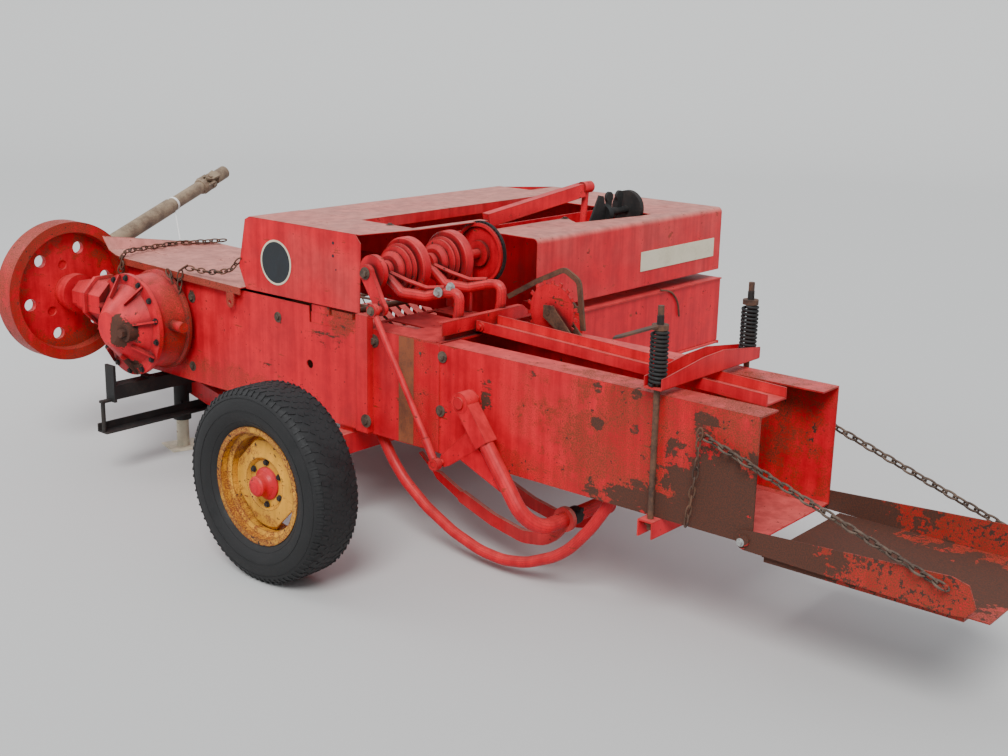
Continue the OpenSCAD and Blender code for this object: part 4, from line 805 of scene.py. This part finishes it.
class BALER_OT_hub_bolts(bpy.types.Operator):
    """Build the wheel bolts"""
    bl_idname = "baler.hub_bolts"
    bl_label = "Wheel bolts"

    def execute(self, context):
        disc_face, circle, head = 0.0275, 0.0757, 0.0085
        for name, body, side in (("bolts_left", "left_wheel", 1), ("bolts_right", "right_wheel", -1)):
            middle = PIVOTS[body] + LEFT * (side * disc_face)
            spots = bolt_circle(middle, circle, 6, head, math.radians(30), side)
            bolts(name, spots, body, "greasy iron", washer=1.35, height=0.8)
        return {"FINISHED"}


def cover_bolts():
    """The ring of bolts that holds the gearbox cover."""
    face, circle, count, head = 0.1925, 0.194, 14, 0.010
    spots = bolt_circle(DRUM + LEFT * face, circle, count, head, math.pi / count)
    bolts("gearbox_bolts", spots, "root", "greasy iron", washer=1.3, height=0.8)


def cover_ribs():
    """The cast ribs of the gearbox cover; outline is a rib's side as (radius, x)."""
    outline = ((0.110, 0.238), (0.206, 0.188), (0.206, 0.197), (0.125, 0.258))
    half, count, start = 0.004, 8, 0.22
    ribs = Shape("gear red")
    for a in turns(count, start):
        out = Vector((0, math.cos(a), math.sin(a)))
        side = Vector((0, -math.sin(a), math.cos(a))) * half
        verts = [DRUM + out * r + LEFT * x + side * s for s in (-1, 1) for r, x in outline]
        edges = [(i, (i + 1) % 4, 4 + (i + 1) % 4, 4 + i) for i in range(4)]
        ribs.add(verts, [(3, 2, 1, 0), (4, 5, 6, 7), *edges])
    ribs.make("gearbox_ribs", "root")


class BALER_OT_gearbox_bolts(bpy.types.Operator):
    """Build the bolts and ribs of the gearbox cover"""
    bl_idname = "baler.gearbox_bolts"
    bl_label = "Gearbox bolts"

    def execute(self, context):
        cover_bolts()
        cover_ribs()
        return {"FINISHED"}


# Bolts in millimetres: the left side's as (y, z, share of a common head), the hoods' as (node, x, y), and
# the others as (y, z), of which the lap's stand on its strip
SIDE_BOLTS = ((-238, 760, 1.0), (-773, 759, 1.1), (-784, 464, 1.0), (290, 755, 1.2), (278, 456, 1.2),
              (526, 751, 0.6))
LAP_BOLTS = ((631, 756), (624, 559))
HOOD_BOLTS = (("knotter_hood", -251, 122), ("feeder_hood", -1100, 300))
KNOTTER_NUTS = ((549, 972), (511, 953))
CHUTE_BOLT = (1857, 407)
CRANK_BOLT = (383.8, 896)

# Small holes in the knotter hood's side as (y, z) in millimetres and the radius in metres
HOOD_HOLES = ((78, 1088, 0.006), (77, 1040, 0.006), (92, 990, 0.0035))


def side_bolts(head):
    """The rusty bolts of the left side and the hoods."""
    walls = ("plunger_housing", "chamber_left_wall")
    strip = LEFT * 0.0032
    spots = [(on_left(y, z, *walls), LEFT, head * size) for y, z, size in SIDE_BOLTS]
    spots += [(on_left(y, z, *walls) + strip, LEFT, head) for y, z in LAP_BOLTS]
    spots += [(seat(node, at(x, y, HIGH), DOWN), UP, head * 0.8) for node, x, y in HOOD_BOLTS]
    bolts("side_bolts", spots, washer=1.9)


def bright_bolts(head):
    """The newer nuts of the knotter frames and the chute's bolt."""
    spots = [(seat("knotter_frames", at(0, y, z), RIGHT), LEFT, head * 1.15) for y, z in KNOTTER_NUTS]
    spots.append((on_left(*CHUTE_BOLT, "chamber_left_wall"), LEFT, head * 0.8))
    bolts("bright_bolts", spots, material="bright steel", height=0.9)


def knotter_bolts():
    """The bolt in the knotter shaft's end and the one through the needle rod's upper eye."""
    shaft_end = at(62.5, *(PIVOTS["knotters"].yz * 1000))
    bolts("shaft_bolt", [(shaft_end, LEFT, 0.015)], "knotters", height=0.8)
    crank = seat("needle_rod", at(OUTSIDE, *CRANK_BOLT), RIGHT)
    bolts("crank_bolt", [(crank, LEFT, 0.012)], "rod", washer=1.4, height=0.8)


def hood_holes():
    """Small holes in the knotter hood's side, as thin black discs just proud of it: painted shade for the
    dark inside seen through them.
    """
    low, high = 0.0002, 0.0006
    holes = Shape("disc black")
    for y, z, r in HOOD_HOLES:
        holes.turned([(0, low), (r, low), (r, high), (0, high)], on_left(y, z, "knotter_hood"), 20)
    holes.make("hood_holes")


class BALER_OT_side_bolts(bpy.types.Operator):
    """Build the bolts of the left side, the hoods, the knotters and the chute"""
    bl_idname = "baler.side_bolts"
    bl_label = "Side bolts"

    def execute(self, context):
        head = context.scene.baler_sizes.bolt_head
        side_bolts(head)
        bright_bolts(head)
        knotter_bolts()
        hood_holes()
        return {"FINISHED"}


def wall_laps():
    """The bare strip and the painted strip where the chamber's side panels overlap."""
    low, high, cut, gap = 0.404, 0.797, 0.007, 0.0002
    bare = [(0.417, low), (0.491, low), (0.491, high), (0.417, high)]
    painted = [(0.493, low), (0.617, low), (0.617, high - cut), (0.617 - cut, high), (0.493, high)]
    laps = Shape("brown lap", "wall red")
    laps.plate(bare, CHAMBER_LEFT + gap, CHAMBER_LEFT + 0.0014, 0)
    laps.plate(painted, CHAMBER_LEFT + gap, CHAMBER_LEFT + 0.0034, 1)
    laps.make("wall_laps", "root", bevel=0.0006)


def deck_ear():
    """A rounded ear with a hole, which hangs from the deck's left lip."""
    y, z, outer_r, hole_r, root, top = -0.496, 0.784, 0.022, 0.009, 0.790, 0.826
    outer = [(y + outer_r, top), (y + outer_r, root)]
    outer += [(y + outer_r * math.cos(a), z + outer_r * math.sin(a)) for a in
              (math.radians(-180 * i / 12) for i in range(13))]
    outer += [(y - outer_r, root), (y - outer_r, top)]
    n = len(outer)
    # The hole's points go round nearly as far as the outline does, and start beside its first point
    inner = [(y + hole_r * math.cos(a), z + hole_r * math.sin(a)) for a in
             (math.radians(62 - 304 * i / (n - 1)) for i in range(n))]
    verts = [(at(x, 0, 0).x, *point) for x in (21, 26) for ring in (outer, inner) for point in ring]
    faces = []
    for i in range(n):
        j = (i + 1) % n
        faces += [(i, n + i, n + j, j), (2 * n + i, 2 * n + j, 3 * n + j, 3 * n + i),
                  (i, j, 2 * n + j, 2 * n + i), (n + i, 3 * n + i, 3 * n + j, n + j)]
    ear = Shape("deck red")
    ear.add(verts, faces)
    ear.make("deck_ear", "root")


class BALER_OT_sheet_laps(bpy.types.Operator):
    """Build the lapped strips of the chamber's side and the deck's ear"""
    bl_idname = "baler.sheet_laps"
    bl_label = "Laps and ear"

    def execute(self, context):
        wall_laps()
        deck_ear()
        return {"FINISHED"}


def roller_chain():
    """The chain round the knotter shaft's sprocket, as a ring of rollers."""
    middle = Vector((at(-560, 0, 0).x, *PIVOTS["knotters"].yz))
    ring_of_blocks("roller_chain", middle, "knotters", "greasy iron", "dark_iron",
                   Count=46, Radius=0.1205, Length=0.0115, Width=0.020, Height=0.010)


def yoke_clamp():
    """A clamp with its lug round the yoke's cross tube."""
    clamp = Shape("greasy iron")
    band = [(0.0275, -0.019), (0.0325, -0.019), (0.0325, 0.019), (0.0275, 0.019)]
    clamp.turned(band, at(-175, 1090, 240), 24)
    clamp.block(at(-186, 1112, 262), at(-164, 1128, 276))
    clamp.make("yoke_clamp", "yoke", bevel=0.0015)


def box_hook():
    """A bent wire hook on the twine box."""
    line = [at(-1423, 578, 788), at(-1480, 581, 776), at(-1518, 582, 757), at(-1556, 582, 715),
            at(-1575, 581, 651)]
    hook = Shape("dry rust")
    hook.tube(smooth_line(line, 4), 0.004, 10)
    hook.make("box_hook", "root", angle=60)


def shackles():
    """Three loose oval links at the front end of the far deck chain."""
    half_width, half_height, wire = 0.012, 0.020, 0.0042
    up = Vector((0, 0.25, 1)).normalized()
    bows = Shape("dry rust")
    for i, place in enumerate((at(26, -1212, 858), at(34, -1206, 838), at(28, -1222, 818))):
        turn = math.radians(35 + 50 * i)
        side = Vector((math.cos(turn), math.sin(turn), 0))
        ring = [place + side * half_width * math.cos(a) + up * half_height * math.sin(a) for a in turns(18)]
        bows.tube(ring, wire, 9, closed=True)
    bows.make("shackles", "root", angle=60)


class BALER_OT_small_parts(bpy.types.Operator):
    """Build the knotter drive's roller chain, the yoke's clamp, a hook on the twine box and the shackles"""
    bl_idname = "baler.small_parts"
    bl_label = "Small parts"

    def execute(self, context):
        roller_chain()
        yoke_clamp()
        box_hook()
        shackles()
        return {"FINISHED"}


class BALER_OT_springs(bpy.types.Operator):
    """Build the coil springs and the screw threads of the bale tension"""
    bl_idname = "baler.springs"
    bl_label = "Tension springs"

    def execute(self, context):
        low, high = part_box("tension_springs")
        y, height, outside, gap = (low[1] + high[1]) / 2, high[2] - low[2], 0.020, 0.005
        feet = [Vector((x, y, low[2] + gap)) for x in (CHAMBER_LEFT + outside, CHAMBER_RIGHT - outside)]
        coils = {"Turns": float(context.scene.baler_sizes.coil_turns), "Radius": 0.0245,
                 "Height": height - 2 * gap, "Wire": 0.0052}
        threads = {"Turns": 12.0, "Radius": 0.0102, "Height": 0.042, "Wire": 0.0013}
        for name, rise, values, slot in (("spring_coils", 0.0, coils, "dark_iron"),
                                         ("screw_threads", height - 0.002, threads, "rust")):
            mesh = point_mesh(name, [(place + UP * rise, UP, 1.0) for place in feet])
            piece = run_tree(coil_tree, "greasy iron", name, mesh, values, "root", angle=60)
            if name == "spring_coils":
                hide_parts("tension_springs")
        return {"FINISHED"}


# Chains are led through given points: over the deck and its lip, and down from the chute's left hook
DECK_CHAIN_NEAR = (
    at(5, -466, 948), at(8, -520, 906), at(12, -640, 884), at(20, -760, 884), at(31, -788, 880),
    at(40, -795, 850), at(41, -801, 785), at(41, -818, 764), at(41, -836, 785), at(41, -850, 835),
    at(38, -872, 850))
DECK_CHAIN_FAR = (at(22, -1212, 868), at(4, -1215, 892), at(-60, -1232, 892), at(-266, -1262, 890),
                  at(-400, -1236, 888), at(-504, -1208, 886))
HOOK_CHAIN = (at(42, 1711, 719), at(42, 1708, 700), at(34, 1702, 620), at(30, 1690, 540), at(28, 1680, 470),
              at(28, 1673, 430))

# Half a link's width, by which a chain's middle stays above the deck, and the deck's edge
LINK_LIFT = 0.0095
DECK_EDGE = at(24, 0, 0).x


def laid_on_deck(line):
    """A smooth line through points, lifted to lie on the deck where it would sink into it."""
    points = smooth_line(line, 5)
    for point in points:
        below = seat("deck", point + UP * 0.3, DOWN)
        if below and point.z < below.z + LINK_LIFT and point.x < DECK_EDGE:
            point.z = below.z + LINK_LIFT
    return points


class BALER_OT_chains(bpy.types.Operator):
    """Build the deck chains, the loose hook chain and the chute chains"""
    bl_idname = "baler.chains"
    bl_label = "Chains"

    def execute(self, context):
        pitch = context.scene.baler_sizes.link_pitch
        piece = chain("deck_chain_near", laid_on_deck(DECK_CHAIN_NEAR), pitch)
        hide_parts("deck_chain")
        chain("deck_chain_far", laid_on_deck(DECK_CHAIN_FAR), pitch)
        chain("hook_chain", smooth_line(HOOK_CHAIN, 4), 0.030, wire=0.0030, width=0.017)
        low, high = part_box("chute_chains")
        outside = 0.022
        for side, x in (("left", CHAMBER_LEFT + outside), ("right", CHAMBER_RIGHT - outside)):
            front = Vector((x, low[1] + 0.006, high[2] - 0.008))
            rear = Vector((x, high[1] - 0.006, low[2] + 0.008))
            line = [front.lerp(rear, k / 24) for k in range(25)]
            piece = chain("chute_chain_" + side, line, 0.036, wire=0.0038, width=0.021, material="bare bolt")
            if side == "left":
                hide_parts("chute_chains")
        return {"FINISHED"}


def side_disc():
    """A blank dark disc with a pale rim on the knotter hood's side."""
    centre = on_left(-243, 973, "knotter_hood") + LEFT * 0.0003
    inner, outer, thick, rim = 0.080, 0.0875, 0.001, 0.0012
    disc = Shape("disc black", "plate cream")
    disc.turned([(0, 0), (inner, 0), (inner, thick), (0, thick)], centre, 64, 0)
    disc.turned([(inner, 0), (outer, 0), (outer, rim), (inner, rim)], centre, 64, 1)
    disc.make("side_disc", "root")


def rear_plate():
    """A blank pale plate on the feeder hood's rear."""
    near, far, bottom, top, behind = -1290, -1859, 881, 964, 900
    corners = [seat("feeder_hood", at(x, behind, z), Vector((0, -1, 0)))
               for x, z in ((near, bottom), (far, bottom), (far, top), (near, top))]
    plate = Shape("plate cream")
    plate.add([corner + Vector((0, y, 0)) for y in (0.0004, 0.0024) for corner in corners],
              [(0, 1, 2, 3), (7, 6, 5, 4), (0, 4, 5, 1), (1, 5, 6, 2), (2, 6, 7, 3), (3, 7, 4, 0)])
    plate.make("rear_plate", "root", bevel=0.0008)


class BALER_OT_badges(bpy.types.Operator):
    """Build the blank disc and the blank plate"""
    bl_idname = "baler.badges"
    bl_label = "Blank disc and plate"

    def execute(self, context):
        side_disc()
        rear_plate()
        return {"FINISHED"}


# Studio

CAMERA_AT = Vector((4.0598, 3.7765, 1.9241))
CAMERA_LOOK = Vector((-0.74049, -0.62060, -0.25794))
CAMERA_ROLL = math.radians(1.2716)
CAMERA_LENS = 49.108
CAMERA_SENSOR = 36.0

# Lights as (name, kind, place, angle or size, power), all aimed at the middle of the machine
LIGHTS = (("sun", "SUN", (5.5, 3.5, 7.5), 0.45, 3.4), ("fill", "AREA", (3.0, -5.0, 4.5), 4.0, 120))
AIM = Vector((0, 0, 0.6))
SKY_COLOUR, SKY_STRENGTH = (0.86, 0.90, 0.95, 1), 0.95

# The floor is a dish: flat out to one radius, then rising with another, so that no horizon line shows
FLOOR_FLAT, FLOOR_RISE, FLOOR_SIDES = 12.0, 7.0, 96
FLOOR_COLOUR, FLOOR_ROUGHNESS = (0.50, 0.50, 0.49), 0.9


def build_floor():
    """A wide dish, flat under the machine."""
    rings = [(FLOOR_FLAT, 0.0)]
    rings += [(FLOOR_FLAT + FLOOR_RISE * math.sin(a), FLOOR_RISE * (1 - math.cos(a)))
              for a in (math.radians(6 * k) for k in range(1, 14))]
    verts, faces, n = [(0, 0, 0)], [], FLOOR_SIDES
    for r, z in rings:
        verts += [(r * math.cos(a), r * math.sin(a), z) for a in turns(n)]
    for k in range(n):
        j = (k + 1) % n
        faces.append((0, 1 + k, 1 + j))
        for i in range(1, len(rings)):
            low, high = 1 + (i - 1) * n, 1 + i * n
            faces.append((low + k, high + k, high + j, low + j))
    mesh = bpy.data.meshes.new("floor")
    mesh.from_pydata(verts, [], faces)
    mesh.polygons.foreach_set("use_smooth", [True] * len(mesh.polygons))
    material, w, shader = new_material("floor")
    w.feed(shader.inputs["Base Color"], FLOOR_COLOUR)
    shader.inputs["Roughness"].default_value = FLOOR_ROUGHNESS
    mesh.materials.append(material)
    floor = bpy.data.objects.new("floor", mesh)
    bpy.context.collection.objects.link(floor)


def build_lights():
    """A pale sky, a soft sun from the camera's side and a weak fill from the front left."""
    world = bpy.data.worlds.new("Studio sky")
    world.use_nodes = True
    sky = world.node_tree.nodes["Background"]
    sky.inputs["Color"].default_value = SKY_COLOUR
    sky.inputs["Strength"].default_value = SKY_STRENGTH
    bpy.context.scene.world = world
    for name, kind, place, size, power in LIGHTS:
        light = bpy.data.lights.new(name, kind)
        light.energy = power
        setattr(light, "angle" if kind == "SUN" else "size", size)
        lamp = bpy.data.objects.new(name, light)
        lamp.location = place
        lamp.rotation_euler = (AIM - Vector(place)).to_track_quat("-Z", "Y").to_euler()
        bpy.context.collection.objects.link(lamp)


def build_camera():
    """The photograph's viewpoint, turned about its line of sight by the roll."""
    level = CAMERA_LOOK.cross(UP).normalized()
    top = level.cross(CAMERA_LOOK)
    right = level * math.cos(CAMERA_ROLL) + top * math.sin(CAMERA_ROLL)
    up = top * math.cos(CAMERA_ROLL) - level * math.sin(CAMERA_ROLL)
    lens = bpy.data.cameras.new("camera")
    lens.lens = CAMERA_LENS
    lens.sensor_width = CAMERA_SENSOR
    camera = bpy.data.objects.new("camera", lens)
    turn = Matrix((right, up, -CAMERA_LOOK)).transposed().to_4x4()
    camera.matrix_world = Matrix.Translation(CAMERA_AT) @ turn
    bpy.context.collection.objects.link(camera)
    bpy.context.scene.camera = camera


class BALER_OT_studio(bpy.types.Operator):
    """Build the floor, the lights and the camera"""
    bl_idname = "baler.studio"
    bl_label = "Studio"

    def execute(self, context):
        build_floor()
        build_lights()
        build_camera()
        return {"FINISHED"}


OPERATORS = (BALER_OT_studio, BALER_OT_paint, BALER_OT_tyres, BALER_OT_hub_bolts, BALER_OT_gearbox_bolts,
             BALER_OT_side_bolts, BALER_OT_sheet_laps, BALER_OT_small_parts, BALER_OT_springs,
             BALER_OT_chains, BALER_OT_badges)


class BALER_PT_panel(bpy.types.Panel):
    """Lists the baler's pieces"""
    bl_label = "Square Hay Baler"
    bl_idname = "BALER_PT_panel"
    bl_space_type = "VIEW_3D"
    bl_region_type = "UI"
    bl_category = "Baler"

    def draw(self, context):
        for group in (context.scene.baler_sizes, context.scene.baler_colours):
            for key in group.__annotations__:
                self.layout.prop(group, key)
        for operator in OPERATORS:
            self.layout.operator(operator.bl_idname)


CLASSES = (BalerSizes, BalerColours, *OPERATORS, BALER_PT_panel)


def register():
    for item in CLASSES:
        bpy.utils.register_class(item)
    bpy.types.Scene.baler_sizes = bpy.props.PointerProperty(type=BalerSizes)
    bpy.types.Scene.baler_colours = bpy.props.PointerProperty(type=BalerColours)


def unregister():
    del bpy.types.Scene.baler_sizes
    del bpy.types.Scene.baler_colours
    for item in reversed(CLASSES):
        bpy.utils.unregister_class(item)


def main():
    register()
    for operator in OPERATORS:
        group, name = operator.bl_idname.split(".")
        getattr(getattr(bpy.ops, group), name)()


if __name__ == "__main__":
    main()
